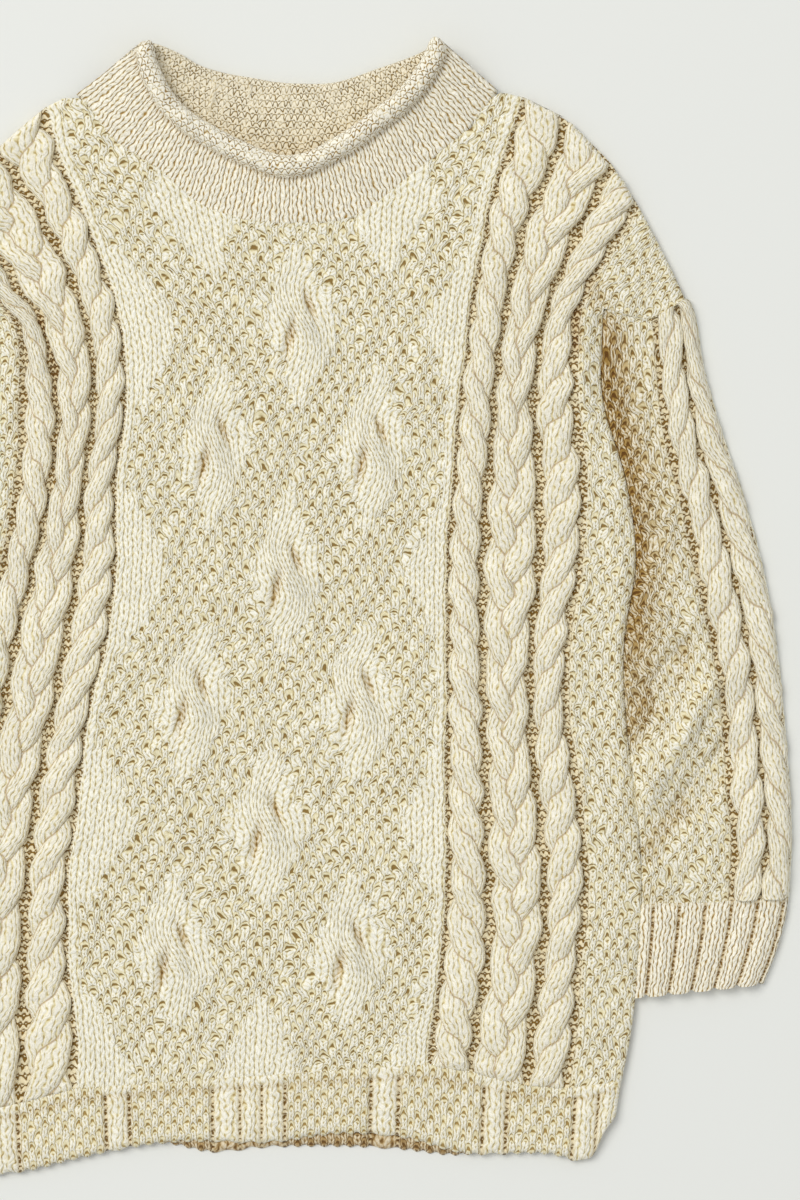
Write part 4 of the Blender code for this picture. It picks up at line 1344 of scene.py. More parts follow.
@dataclass(frozen=True)
class Tube(Ground):
    """A flattened tube of knitting: a sleeve or a cuff."""

    side: Side
    body: PanelLayout  # layout of the body that it lies beside
    table: tuple[SleeveRow, ...]  # its edges at some knitted lengths
    folds: tuple[Fold, ...] = ()
    # Finer ones, which move the cloth and take half of their depth from its thickness.
    creases: tuple[Fold, ...] = ()
    lower_wall: float = 3.5  # thickness of the layer that lies on the surface
    hollow: float = 0.3  # gap between its two layers at the edges
    loft: float = 1.8  # how far the upper layer stands off the lower one
    tuck: float = 1.4  # how far the edge turns under
    fold_wall: float = 3.0  # thickness of the cloth at the folded edges
    under_body: float = 1.5  # how far its inner edge reaches under the rounded edge of the body
    fade: float = 36.0  # how far below the armhole its folds are whole
    edge_fade: float = 16.0  # how far in from its edges they are whole
    highest: float = 1.6 * MAX_FOLD
    under_columns: int = 20
    inner_rows: int = 8

    @property
    def right(self) -> bool:
        """Whether it is on the right."""
        return self.side is Side.RIGHT

    @property
    def length(self) -> float:
        """Knitted length, mm."""
        return self.table[-1].run

    def limit(self, line: Array) -> Array:
        """Knitted length at which the tube ends."""
        return np.full_like(line, self.length)

    def place(self, line: Array, run: Array) -> tuple[Array, Array, Array, Array]:
        """Where the lines lie: inner edge, gutter, groove and outer edge are lines 0 to 3.

        Args:
            line: lines.
            run: knitted lengths from the top of the tube.

        Returns:
            x, y, the same x on the right side of the sweater, and the gutter's x there.
        """
        runs = [row.run for row in self.table]
        inner_y, gutter, groove, outer, outer_y = (
            smooth(run, runs, [getattr(row, name) for row in self.table])
            for name in ("inner_y", "gutter_x", "groove_x", "outer_x", "outer_y"))
        inner = self.body.side_x(inner_y, True) - self.under_body
        right_x = between_lines(line, np.stack((inner, gutter, groove, outer), axis=-1))
        y = inner_y + (outer_y - inner_y) * (right_x - inner) / (outer - inner)
        x = right_x
        if not self.right:
            x = self.body.side_x(inner_y, False) + self.under_body - (right_x - inner)
        return x, self._shaped(x, y, run, (right_x - inner) / (outer - inner)), right_x, gutter

    def _shaped(self, x: Array, y: Array, run: Array, across: Array) -> Array:
        """y with the ends of the tube shaped; across is the share of the way to the outer edge."""
        raise NotImplementedError

    def edges(self, run: Array) -> Pair:
        """x of the inner and the outer edge on the right-hand tube, at each knitted length."""
        return tuple(self.place(np.full_like(run, line), run)[2] for line in (0, 3))

    def surface(self, line: Array, rise: Array, relief: Array) -> Array:
        """Find points of the upper side.

        Args:
            line: lines.
            rise: knitted lengths.
            relief: heights over the plain wall.

        Returns:
            x, y and z of each point.
        """
        x, y, right_x, _ = self.place(line, rise)
        inner, outer = self.edges(rise)
        top, _ = self._heights(right_x, y, inner, outer, relief)
        return np.stack((x, y, top), axis=-1)

    def _heights(self, right_x: Array, y: Array, inner: Array, outer: Array, relief: Array) -> Pair:
        """Heights of the upper layer's outer and inner side.

        Args:
            right_x: places across, on the right-hand tube.
            y: places up.
            inner: x of the inner edge there.
            outer: x of the outer edge there.
            relief: heights over the plain wall, mm.

        Returns:
            z of its outer and of its inner side, mm.
        """
        edge = np.maximum(np.minimum(right_x - inner, outer - right_x), 0)
        fade = ease((ARMHOLE_Y - y) / self.fade)
        crease = 0.5 * fold_height(right_x, y, self.creases) * fade
        fold = self.loft * (0.25 + 0.75 * fade) + fold_height(right_x, y, self.folds) * fade + crease
        fold = np.clip(fold, 0, self.highest) * ease(edge / self.edge_fade)
        roof = self.lower_wall + self.hollow + fold
        wall = np.maximum(WALL + relief + crease, THINNEST)
        return roof - self.tuck + (wall + self.tuck) * roundness(edge), roof

    def lines(self) -> Array:
        """Lines of the grid's columns on the upper side."""
        raise NotImplementedError

    def knit(self, line: Array, run: Array, right_x: Array, gutter_x: Array) -> dict[str, Array]:
        """Stitch numbers, marks and relief of the upper side, by name."""
        raise NotImplementedError

    def patch(self) -> KnitPatch:
        """The tube's knitting as a shell: outside down to its end and back up inside."""
        lines = self.lines()
        runs = np.arange(ROW / FACES_UP, self.length - 1, ROW / FACES_UP)
        runs = np.concatenate(([0, SEAM_ROW], runs, [self.length - SEAM_ROW, self.length]))
        line, run = np.meshgrid(lines, runs)
        x, y, right_x, gutter_x = self.place(line, run)
        knit = self.knit(line, run, right_x, gutter_x)
        top, roof = self._heights(right_x, y, right_x[:, :1], right_x[:, -1:], knit.pop("relief"))

        under = np.linspace(len(lines) - 2, 1, self.under_columns).round().astype(int)
        ring = np.concatenate((np.arange(len(lines)), under, [0]))
        upper = np.arange(len(ring)) < len(lines)
        upper[-1] = True
        outer_z = np.where(upper, top[:, ring], 0.0)
        outer = np.stack((x[:, ring], y[:, ring], outer_z), axis=-1)

        back = np.linspace(len(runs) - 1, 0, self.inner_rows).round().astype(int)
        low = np.minimum(x[:, :1], x[:, -1:]) + self.fold_wall
        high = np.maximum(x[:, :1], x[:, -1:]) - self.fold_wall
        inner_x = np.clip(x[:, ring], low, high)
        inner_z = np.where(upper, roof[:, ring], self.lower_wall)
        inner = np.stack((inner_x, y[:, ring], inner_z), axis=-1)[back]
        points = np.concatenate((outer, inner, outer[:1]))
        marks = {}
        for name, values in knit.items():
            ringed = values[:, ring]
            if name in ("depth", "shadow"):
                ringed = ringed * upper
            marks[name] = np.concatenate((ringed, ringed[back], ringed[:1]))
        return KnitPatch(points=points, **marks)

    def flat_area(self) -> float:
        """Area of the cloth all round the tube, in square metres."""
        run = np.linspace(0, self.length, 60)
        inner, outer = self.edges(run)
        return float(2 * (outer - inner).mean() * self.length) * MM * MM


@dataclass(frozen=True)
class Sleeve(Tube):
    """A sleeve: moss, then a gutter and two rope cables along its outer edge."""

    cable_stitches: int = 5
    moss_height: float = 0.8
    moss_columns: int = 45
    gutter: float = 2.2  # depth of a gutter
    gutter_half: float = 0.6  # its half width, in stitches
    under_cable: float = 1.2  # how far the wall is sunk under a cable
    end: float = 0.4  # how far the cloth is drawn in at the cuff
    tucked: float = 1.6  # how far it sinks beside the body
    turned: float = 2.9  # line past which the outer edge is plain knitting
    uneven: Unevenness = Unevenness()
    cables: tuple[Cable, ...] = (
        Cable(1, CableKind.ROPE, 1, period=31.5, half=0.46, height=4.0),
        Cable(2, CableKind.ROPE, -1, period=31.5, half=0.5, height=3.6))

    def _shaped(self, x: Array, y: Array, run: Array, across: Array) -> Array:
        """Shape the top of the sleeve to the armhole.

        Args:
            x: places across.
            y: their y with a straight top.
            run: knitted lengths.
            across: shares of the way to the outer edge.

        Returns:
            The new y.
        """
        rise = np.linspace(UNDERARM_RISE, TOP.side_r, 40)
        seam_x, seam_y = self.body.place(np.full_like(rise, LAST_LINE if self.right else 0), rise)
        order = np.argsort(seam_x)
        seam = np.interp(x, seam_x[order], seam_y[order]) + 1.2
        return seam + (y - seam) * ease(run / 50)

    def lines(self) -> Array:
        """Lines of the grid's columns on the upper side."""
        moss = np.linspace(0, 1, self.moss_columns + 1)[1:-1]
        cabled = [start + part for start in (1, 2) for part in (0, 0.1, 0.2, 0.35, 0.5, 0.65, 0.8, 0.9)]
        return np.concatenate((INNER_EDGE, moss, cabled, OUTER_EDGE))

    def knit(self, line: Array, run: Array, right_x: Array, gutter_x: Array) -> dict[str, Array]:
        """Work out the knitting of the upper side.

        Args:
            line: lines.
            run: knitted lengths from the top of the sleeve.
            right_x: x there on the right-hand side of the sweater.
            gutter_x: the gutter's x there.

        Returns:
            Stitch numbers, marks and relief at each place, by name.
        """
        stitch = np.where(line < 1, (right_x - gutter_x) / STITCH, (line - 1) * self.cable_stitches) + 0.5
        row = (self.length - run) / ROW
        inward = right_x - right_x[:, :1]
        gap = np.minimum(np.abs(stitch - 0.5), np.abs(line - 2) * self.cable_stitches)
        turned = line > self.turned
        purl = np.where(((line > 1) | (gap < WRONG_SIDE)) & ~turned, 1.0, 0.0)
        share = 1.1 * ease((gap - WRONG_SIDE) / GUTTER_CALM) * ease(inward / 10)
        stitch, row = self.uneven.stray(right_x, -run, stitch, row, share)
        bumps = self.moss_height * moss_bumps(stitch, row) * (1 - purl)
        ends = near(self.length - run, 4)
        relief = bumps * (1 - ends) - self.end * ends - self.tucked * near(inward, 22) * ease(run / 30)
        relief -= 0.3 * near(run, 3)
        relief -= self.gutter * near(gap, self.gutter_half) + np.where(line > 1, self.under_cable, 0.0)
        depth = np.maximum(near(gap, GUTTER_SHADE), np.where(line > 1, 0.9, 0.0)) * ~turned

        # Painted shadow lies in the creases, and beside the body in a strip that widens from the armhole down
        # and ends above the cuff.
        valley = np.clip(-fold_height(right_x, self.place(line, run)[1], self.creases) / 8.0, 0, 1)
        beside = near(inward, np.minimum(26, 6 + 0.45 * run)) * (1 - ease((run - 250) / 70))
        shadow = np.clip(0.45 * valley + 0.72 * beside, 0, 0.95) * (line < 1.1) * ease(run / 24)
        return {"stitch": stitch, "row": row, "plain": turned.astype(float), "purl": purl, "depth": depth,
                "shadow": shadow, "relief": relief}

    def build(self, knitter: Knitter, wool: Material, strand_wool: Material) -> None:
        """Make the sleeve and its cables.

        Args:
            knitter: writes the meshes.
            wool: material of the sleeve.
            strand_wool: material of the cables.
        """
        node = f"sleeve_{self.side.value}"
        sleeve = knitter.dress(node, self.patch(), Closing.MERGED, wool)
        strands = self.lay(self.cables, node, self.length, knitter, strand_wool)
        area = self.flat_area()


@dataclass(frozen=True)
class Cuff(Tube):
    """A cuff in ribs of smooth columns, with grooves between them."""

    rib_stitches: int = 3
    first_groove: float = 0.095  # where the first groove lies, as a share of the way across
    rib: float = 0.1735  # distance from one groove to the next, as such a share
    notch: float = 1.7  # how far the lower edge is drawn in at a groove
    swell: float = 2.6  # height of a rib
    sunk: float = 1.6  # how far the wall lies under the sleeve's
    groove: float = 1.4  # depth of a groove under it
    column: float = 0.12
    seam: float = 0.45  # how far the cloth is drawn in at the sleeve

    def _from_groove(self, across: Array) -> Pair:
        """Stitch numbers, and distances to the nearest groove in stitches, at shares of the way across."""
        stitch = (across - self.first_groove) / self.rib * self.rib_stitches
        return stitch, np.abs(((stitch / self.rib_stitches + 0.5) % 1) - 0.5) * self.rib_stitches

    def _shaped(self, x: Array, y: Array, run: Array, across: Array) -> Array:
        """y with a notch in the lower edge at each groove."""
        _, from_groove = self._from_groove(across)
        return y + self.notch * near(from_groove, 0.4) * ease(1 - (self.length - run) / 9)

    def lines(self) -> Array:
        """Lines of the grid's columns on the upper side."""
        wide, narrow = np.linspace(0, 1, 78)[1:-1], np.linspace(1, 3, 42)[:-1]
        return np.concatenate((INNER_EDGE, wide, narrow, OUTER_EDGE))

    def knit(self, line: Array, run: Array, right_x: Array, gutter_x: Array) -> dict[str, Array]:
        """Work out the knitting of the upper side.

        Args:
            line: lines.
            run: knitted lengths from the top of the cuff.
            right_x: x there on the right-hand side of the sweater.
            gutter_x: the gutter's x there.

        Returns:
            Stitch numbers, marks and relief at each place, by name.
        """
        inner, outer = right_x[:, :1], right_x[:, -1:]
        stitch, from_groove = self._from_groove((right_x - inner) / (outer - inner))
        ribbed = ease((from_groove - 0.07) / 0.22)
        swell = self.swell * np.sqrt(np.clip(2 * from_groove / self.rib_stitches, 0, 1))
        relief = swell - self.sunk - self.groove * (1 - ribbed)
        relief -= self.column * np.cos(2 * np.pi * stitch) * ribbed
        seam = near(run, 5)
        relief = relief * (1 - seam) - self.seam * seam
        # The grooves get painted gutter shade and a little painted shadow.
        return {"stitch": stitch, "row": (self.length - run) / ROW, "plain": ribbed, "purl": 1 - ribbed,
                "depth": 0.75 * (1 - ribbed), "shadow": 0.2 * near(from_groove, 0.34), "relief": relief}

    def build(self, knitter: Knitter, wool: Material) -> None:
        """Make the cuff.

        Args:
            knitter: writes the mesh.
            wool: its material.
        """
        cuff = knitter.dress(f"cuff_{self.side.value}", self.patch(), Closing.MERGED, wool)
        area = self.flat_area()


@dataclass(frozen=True)
class Neckband:
    """Half of the neckband, from its seam to its edge."""

    node: str
    layout: PanelLayout
    rim: tuple[RimPoint, ...]  # middle of the rolled edge, or the edge itself
    radius: float  # radius of that edge
    base: float  # height of the panel's underside at the seam
    tails: tuple[Mark, ...] = ()  # ends of yarn that are woven in on its upper face
    overlap: float = 2.2  # how far it reaches over the panel
    stitches: int = 54
    faces: int = 4
    end: float = 0.035  # share of the band over which each end of its roll is rounded off
    column: float = 0.36
    drift: Wander = Wander(seed=5, reach=0.45, shortest=14.0, longest=60.0)

    def _sections(self) -> tuple[Array, Array, Array, Array, Array]:
        """Stitch numbers, seam, rim, direction and reach of each section of the band."""
        numbers = np.arange(self.stitches * self.faces + 1) / self.faces
        part = numbers / self.stitches
        panel = self.layout.neck_edge(60)
        lengths = chord_lengths(panel)
        seam = np.stack([np.interp(part * lengths[-1], lengths, panel[:, axis]) for axis in (0, 1)], axis=-1)
        rim = along(self.rim, part)
        run = rim[:, :2] - seam
        reach = np.linalg.norm(run, axis=1)
        return numbers, seam, rim, run / reach[:, None], reach

    def _profile(self, middle: Array, reach: Array) -> list[tuple[Array, Array, float]]:
        """Distance from the seam, height, and 1 on the rolled edge, for each point of the band's section."""
        raise NotImplementedError

    def patch(self) -> KnitPatch:
        """The band's knitting, closed round its section."""
        numbers, seam, rim, run, reach = self._sections()
        offsets, heights, rolled = zip(*self._profile(rim[:, 2], reach))
        offset, z = np.stack(offsets), np.stack(heights)
        x = seam[:, 0] + run[:, 0] * offset
        y = seam[:, 1] + run[:, 1] * offset
        roll = np.broadcast_to(np.array(rolled)[:, None], x.shape)
        bulge = self.drift.at(x, y) * (0.3 + 0.7 * roll) * ease(offset / 8)
        bulge = bulge * np.sin(np.pi * np.linspace(0, 1, len(offset)))[:, None] ** 0.3
        points = np.stack((x, y, z + bulge), axis=-1)
        row = chord_lengths(points) / ROW
        number = np.broadcast_to(numbers, x.shape)
        plain, purl = self._stitches(roll)
        points[..., 2] -= self.column * np.cos(2 * np.pi * number) * plain * ease(offset / 3)
        tail = np.zeros_like(x)
        for mark in self.tails:
            tail += mark.at(x, y) * (z >= BACK_TOP)
        points[..., 2] += tail
        tail = np.clip(tail, 0, 1)
        plain, purl = np.maximum(plain, tail), purl * (1 - tail)
        # Painted shadow under the front's roll, and on the back where the other half overhangs it.
        crease = near(offset - (reach - self.radius), 2.2) * (1 - roll)
        shadow = 0.5 * crease + self._shadow(offset)
        patch = KnitPatch(points, number, row, plain, purl, np.zeros_like(row), shadow=shadow)
        return patch.closed(axis=0)

    def _shadow(self, offset: Array) -> Array:
        """How far the wool lies in the shadow of the other half, at each distance from the seam."""
        return np.zeros_like(offset)

    def _stitches(self, roll: Array) -> Pair:
        """Where the band is smooth and where the wrong side shows."""
        raise NotImplementedError

    def build(self, knitter: Knitter, wool: Material, flat: tuple[float, float],
              rests_on: Sequence[str]) -> None:
        """Make the half band; flat, its width round the neck and its knitted length in m, is not used."""
        band = knitter.dress(self.node, self.patch(), Closing.MERGED, wool)


@dataclass(frozen=True)
class FrontNeckband(Neckband):
    """Front half: smooth columns that rise to a roll, on which the wrong side shows."""

    def _profile(self, middle: Array, reach: Array) -> list[tuple[Array, Array, float]]:
        """Go up the band from its seam, round the roll, and back under it.

        Args:
            middle: height of the middle of the roll.
            reach: its distance from the seam.

        Returns:
            The distances from the seam, the heights, and 1 on the roll, for each point of the section.
        """
        part = np.linspace(0, 1, len(reach))
        radius = self.radius * (0.35 + 0.65 * quarter_round(np.minimum(part, 1 - part) / self.end))
        crease = reach - 0.98 * self.radius
        top = self.base + WALL - 0.6
        section = []
        for part in np.linspace(0, 0.97, 15):
            height = top + 1.4 * min(part / 0.1, 1.0) + (middle - 2.9 - top) * ease(part)
            section.append((part * (crease + self.overlap) - self.overlap, height, 0.0))
        for turn in np.radians(np.linspace(150, -128, 25)):
            section.append((reach + radius * np.cos(turn), middle + radius * np.sin(turn), 1.0))
        for part in (0.7, 0.35, 0.0):
            height = self.base + (middle - 0.8 * self.radius - self.base) * ease(part)
            section.append((part * crease, height, 0.0))
        return section

    def _stitches(self, roll: Array) -> Pair:
        """Smooth on the band, wrong side on the roll."""
        return 1 - roll, roll


@dataclass(frozen=True)
class BackNeckband(Neckband):
    """Back half: it lies open, so its wrong side shows, and its edge turns away and down."""

    def _profile(self, middle: Array, reach: Array) -> list[tuple[Array, Array, float]]:
        """Go up the band from its seam, round its turned edge, and back along the surface.

        Args:
            middle: height of the top of the edge.
            reach: its distance from the seam.

        Returns:
            The distances from the seam, the heights, and 1 on the edge, for each point of the section.
        """
        reach = reach - self.radius
        core = middle - self.radius
        section = []
        for part in np.linspace(0, 0.95, 24):
            section.append((part * reach, BACK_TOP + (middle - 0.4 - BACK_TOP) * ease(part), 0.0))
        for turn in np.radians(np.linspace(100, -120, 11)):
            section.append((reach + self.radius * np.cos(turn), core + self.radius * np.sin(turn), 1.0))
        for part in (0.8, 0.45, 0.0):
            section.append((part * reach, (core - self.radius) * ease((part - 0.3) / 0.7) * 0.8, 0.0))
        return section

    def _shadow(self, offset: Array) -> Array:
        """How far the wool lies in the shadow of the other half, at each distance from the seam."""
        return 0.5 * near(offset, 26)

    def _stitches(self, roll: Array) -> Pair:
        """The wrong side shows all over."""
        return np.zeros_like(roll), np.ones_like(roll)


# Ends of yarn on the wrong side of the back neckband, and what the camera looks down on, in the tables.
YARN_ENDS = (Mark(-48.6, 355.0, -8.0, 1.7, 7.5, 2.0), Mark(-22.5, 361.0, 4.0, 1.5, 5.5, 1.2))
CAMERA_OVER = Point(82.95, 3.15)


def linear(hex_colour: str) -> tuple[float, float, float, float]:
    """Linear colour, with alpha, of an sRGB colour written as #RRGGBB."""
    parts = [int(hex_colour[i:i + 2], 16) / 255 for i in (1, 3, 5)]
    return (*(part / 12.92 if part <= 0.04045 else ((part + 0.055) / 1.055) ** 2.4 for part in parts), 1.0)


def add_node(tree: bpy.types.NodeTree, kind: str, *values: object, inputs: dict | None = None,
             **settings: object) -> Socket:
    """Add a node with its settings and links.

    Args:
        tree: where it goes.
        kind: its type, with its operation after a full stop where it has one.
        *values: for its inputs in order: a socket to link, a number or colour to set, or None to leave.
        inputs: the same for inputs given by name or number.
        **settings: the node's own options.

    Returns:
        Its first output that is in use.
    """
    kind, _, operation = kind.partition(".")
    node = tree.nodes.new("ShaderNode" + kind)
    if operation:
        node.operation = operation
    for name, value in settings.items():
        setattr(node, name, value)
    for key, value in [*enumerate(values), *(inputs or {}).items()]:
        if isinstance(value, Socket):
            tree.links.new(value, node.inputs[key])
        elif value is not None:
            node.inputs[key].default_value = value
    return next((socket for socket in node.outputs if socket.enabled), None)


def new_material(name: str) -> tuple[Material, Adder]:
    """Make an empty material.

    Args:
        name: its name.

    Returns:
        The material, and a function that adds a node to it.
    """
    material = bpy.data.materials.new(name)
    material.use_nodes = True
    material.node_tree.nodes.clear()
    return material, partial(add_node, material.node_tree)


@dataclass(frozen=True)
class WoolFinish:
    """Undyed sheep's wool, spun thick and soft and knitted by hand.

    Its fibres scatter light, so it is matt with a faint sheen. The shade in the gaps between the stitches is
    painted into its colour, a warm ochre instead of grey, as light that reaches them has been through the
    yarn.
    """

    name: str
    light: str = "#F8F5E6"  # the top of the yarn
    shade: str = "#E8DCAC"  # painted shade on the sides of the yarn
    hollow: str = "#8E713A"  # painted shade in the gaps between stitches
    gutter: str = "#7C5C20"  # painted shade at the bottom of a gutter or crease
    rung: str = "#EDE0BA"  # the strands of yarn that cross a gutter, in painted shade a little darker than the open yarn
    seam: str = "#A88446"  # painted shade along the crease between two strands of a cable
    shadow: str = "#B6944E"  # what is left of the light deep in a fold
    joint: float = 0.38  # share by which the yarn is lower where one stitch goes into the next
    between: float = 0.24  # its height between two columns of stitches, from 0 to 1
    within: float = 0.32  # its height between the two legs of a stitch
    bridged: float = 0.44  # how much higher it is in both where one row meets the next
    bump: float = 0.8  # height of the yarn over the gaps
    fibre: float = 1.5  # size of the fibres' mottling, coarser than one fibre, so that it shows
    creased: bool = False  # whether the pieces carry the distance to a crease, along which a shade line is painted
    # Smooth stitches for each counted one, across and up.
    smooth: tuple[float, float] = (SMOOTH_ACROSS, SMOOTH_UP)
    roughness: float = 0.93
    sheen: float = 0.25  # how much light its fibres catch at a glance

    def material(self) -> Material:
        """Make the material."""
        material, node = new_material(self.name)
        place = node("TexCoord").node.outputs["Object"]
        height, stitch = self._yarn(node, place)
        fibres = node("TexNoise", place, inputs={
            "Scale": 1 / (self.fibre * MM), "Detail": 3.0, "Roughness": 0.65})
        fibres = node("MapRange", fibres, 0.3, 0.7, 0.0, 1.0)
        colour = self._colour(node, place, height, stitch, fibres)
        raised = node("Math.MULTIPLY_ADD", fibres, 0.3, height)
        normal = node("Bump", inputs={
            "Height": raised, "Strength": 1.0, "Distance": self.bump * MM})
        shader = node("BsdfPrincipled", inputs={
            "Base Color": colour, "Normal": normal, "Roughness": self.roughness,
            "Specular IOR Level": 0.25, "Sheen Weight": self.sheen, "Sheen Roughness": 0.5})
        node("OutputMaterial", shader)
        return material

    def _yarn(self, node: Adder, place: Socket) -> tuple[Socket, Socket]:
        """Height of the yarn, and the stitch that it belongs to.

        Args:
            node: adds a node to the material.
            place: Object coordinates.

        Returns:
            The height from 0 to 1, and a vector that is the same all over a stitch.
        """
        # The yarn strays by a part of a stitch in waves of about 7 mm.
        stray = node("TexNoise", place, inputs={"Scale": 1 / (7 * MM), "Detail": 1.5}).node.outputs["Color"]
        stray = node("VectorMath.SUBTRACT", stray, (0.5, 0.5, 0.5))
        stray = node("VectorMath.MULTIPLY", stray, (0.85, 1.35, 0.0))
        stitches = node("UVMap", uv_map=STITCH_MAP)
        moved = node("VectorMath.ADD", stitches, stray)
        across = node("SeparateXYZ", moved)
        up = across.node.outputs["Y"]
        plain, purl, depth = (
            node("Attribute", attribute_name=name).node.outputs["Fac"] for name in ("plain", "purl", "depth"))
        knit, side = self._knit_stitches(node, across, up, plain)

        # Double moss: knit and purl change at each stitch across and at each second row up.
        columns = node("Math.MULTIPLY", across, math.pi)
        columns = node("Math.SINE", columns)
        rows = node("Math.MULTIPLY", up, math.pi / 2)
        rows = node("Math.SINE", rows)
        squares = node("Math.MULTIPLY", columns, rows)
        moss = node("MapRange", squares, -0.1, 0.1, 0.0, 1.0, **SMOOTH_STEP)
        right_side = node("Math.MAXIMUM", moss, plain)
        right_side = node("Math.SUBTRACT", right_side, purl, use_clamp=True)

        wrong = node("Math.GREATER_THAN", purl, 0.5)
        purled = self._purl_stitches(node, moved, wrong, depth)
        stroke = node("MapRange", side, 0.0, 0.12, 0.38, 1.0, **SMOOTH_STEP)
        stroke = node("Math.MAXIMUM", stroke, wrong)
        purled = node("Math.MULTIPLY", purled, stroke)
        sunk = node("Math.ADD", squares, plain)
        sunk = node("Math.ADD", sunk, purl)
        sunk = node("MapRange", sunk, -0.7, 0.2, 0.6, 1.0)
        purled = node("Math.MULTIPLY", purled, sunk)
        height = node("Mix", right_side, inputs={2: purled, 3: knit}, data_type="FLOAT")

        # Plies and tufts run along the yarn.
        plies = node("VectorMath.MULTIPLY", stitches, (5.0, 0.9, 0.0))
        plies = node("VectorMath.MULTIPLY_ADD", place, (40.0, 40.0, 40.0), plies)
        plies = node("TexNoise", plies, inputs={"Scale": 1.0, "Detail": 2.0, "Roughness": 0.6})
        plies = node("MapRange", plies, 0.3, 0.7, 0.78, 1.08)
        height = node("Math.MULTIPLY", height, plies)
        return height, node("VectorMath.FLOOR", moved)

    def _knit_stitches(self, node: Adder, across: Socket, up: Socket, plain: Socket) -> tuple[Socket, Socket]:
        """Legs of the knit stitches: two in each column, leaning outwards going up.

        The gaps beside and between them are bridged where one row meets the next, in turns.

        Args:
            node: adds a node to the material.
            across: stitch number.
            up: row number.
            plain: 1 where the knitting is smooth.

        Returns:
            Height of the yarn, and distance from the side of the column, in stitches.
        """
        even = node("Math.GREATER_THAN", plain, 0.5)
        wide = node("MapRange", even, 0.0, 1.0, 1.0, self.smooth[0])
        tall = node("MapRange", even, 0.0, 1.0, 1.0, self.smooth[1])
        column = node("Math.MULTIPLY", across, wide)
        course = node("Math.MULTIPLY", up, tall)
        bridge = node("Math.MULTIPLY", course, math.pi)
        bridge = node("Math.COSINE", bridge)
        bridge = node("Math.MULTIPLY", bridge, bridge)
        beside = node("MapRange", bridge, 0.0, 1.0, self.between, self.between + self.bridged)
        inside = node("MapRange", bridge, 0.0, 1.0, self.within + self.bridged, self.within)
        side = node("Math.PINGPONG", column, 0.5)
        outer = node("MapRange", side, 0.0, 0.14, beside, 1.0, **SMOOTH_STEP)
        middle = node("MapRange", side, 0.38, 0.5, 1.0, inside, **SMOOTH_STEP)
        leg = node("Math.MULTIPLY", outer, middle)
        wave = node("Math.MULTIPLY_ADD", side, 2.6, course)
        wave = node("Math.MULTIPLY", wave, math.pi)
        wave = node("Math.SINE", wave)
        wave = node("Math.ABSOLUTE", wave)
        loop = node("Math.POWER", wave, 0.6)
        loop = node("Math.MULTIPLY_ADD", loop, self.joint, 1 - self.joint)
        return node("Math.MULTIPLY", leg, loop), side

    @staticmethod
    def _purl_stitches(node: Adder, moved: Socket, wrong: Socket, depth: Socket) -> Socket:
        """Heads of the purl stitches: arcs across the column, with gaps that are widest under their middles.

        Args:
            node: adds a node to the material.
            moved: stitch and row numbers.
            wrong: 1 where the wrong side shows, 0 in moss.
            depth: 1 at the bottom of a gutter.

        Returns:
            Height of the yarn.
        """
        across = node("SeparateXYZ", moved)
        up = across.node.outputs["Y"]
        pace = node("Math.MULTIPLY_ADD", wrong, -0.3, 1.0)
        pace = node("Math.MULTIPLY", up, pace)
        odd = node("Math.MULTIPLY", pace, 0.5)
        odd = node("Math.FRACT", odd)
        odd = node("Math.GREATER_THAN", odd, 0.5)
        odd = node("Math.MULTIPLY", odd, wrong)
        turn = node("Math.MULTIPLY_ADD", odd, 0.5, across)
        turn = node("Math.MULTIPLY", turn, 2 * math.pi)
        bend = node("Math.COSINE", turn)
        arch = node("Math.MULTIPLY_ADD", bend, 0.5, 0.5)
        arch = node("Math.POWER", arch, 1.7)
        in_gutter = node("MapRange", depth, 0.3, 0.8, 0.0, 1.0)
        level = node("MapRange", wrong, 0.0, 1.0, 0.8, 0.68)
        level = node("Mix", in_gutter, inputs={2: level, 3: 0.4}, data_type="FLOAT")
        arc = node("Math.MULTIPLY", arch, level)
        arc = node("Math.ADD", arc, pace)
        arc = node("Math.MULTIPLY", arc, math.pi)
        bar = node("Math.SINE", arc)
        bar = node("Math.ABSOLUTE", bar)

        # The gap under a head is thinned at its ends and, in moss, opened under its middle.
        mossy = node("Math.SUBTRACT", 1.0, wrong)
        crown = node("MapRange", bend, 0.6, -1.0, 0.0, 1.0, **SMOOTH_STEP)
        crown = node("Math.MULTIPLY", crown, mossy)
        thin = node("MapRange", depth, 0.2, 0.6, 1.5, 0.85)
        thin = node("Math.MULTIPLY_ADD", crown, -0.45, thin)
        gap = node("Math.SUBTRACT", 1.0, bar)
        gap = node("Math.POWER", gap, thin)
        spots = node("Math.ABSOLUTE", bend)
        spots = node("Math.MULTIPLY_ADD", spots, 0.4, 0.75)
        opened = node("Math.MULTIPLY_ADD", crown, 0.75, 0.45)
        spots = node("Mix", wrong, inputs={2: opened, 3: spots}, data_type="FLOAT")
        spots = node("Math.MAXIMUM", spots, depth)

        # In moss the gap between the two purl stitches of a pair is deep, the others only lines.
        lower = node("Math.COSINE", arc)
        lower = node("MapRange", lower, -0.5, 0.5, 1.5, 0.75, **SMOOTH_STEP)
        flat = node("MapRange", depth, 0.2, 0.6, 1.0, 1.5)
        lower = node("Mix", wrong, inputs={2: lower, 3: flat}, data_type="FLOAT")
        pair = node("VectorMath.MULTIPLY", moved, (1.0, 0.5, 0.0))
        pair = node("VectorMath.FLOOR", pair)
        pair = node("TexWhiteNoise", pair, noise_dimensions="3D")
        pair = node("MapRange", pair, 0.0, 1.0, 0.6, 1.3)
        lower = node("Math.MULTIPLY", pair, lower)
        dark = node("Math.MULTIPLY", gap, spots)
        dark = node("Math.MULTIPLY", dark, lower)
        return node("Math.SUBTRACT", 1.0, dark, use_clamp=True)

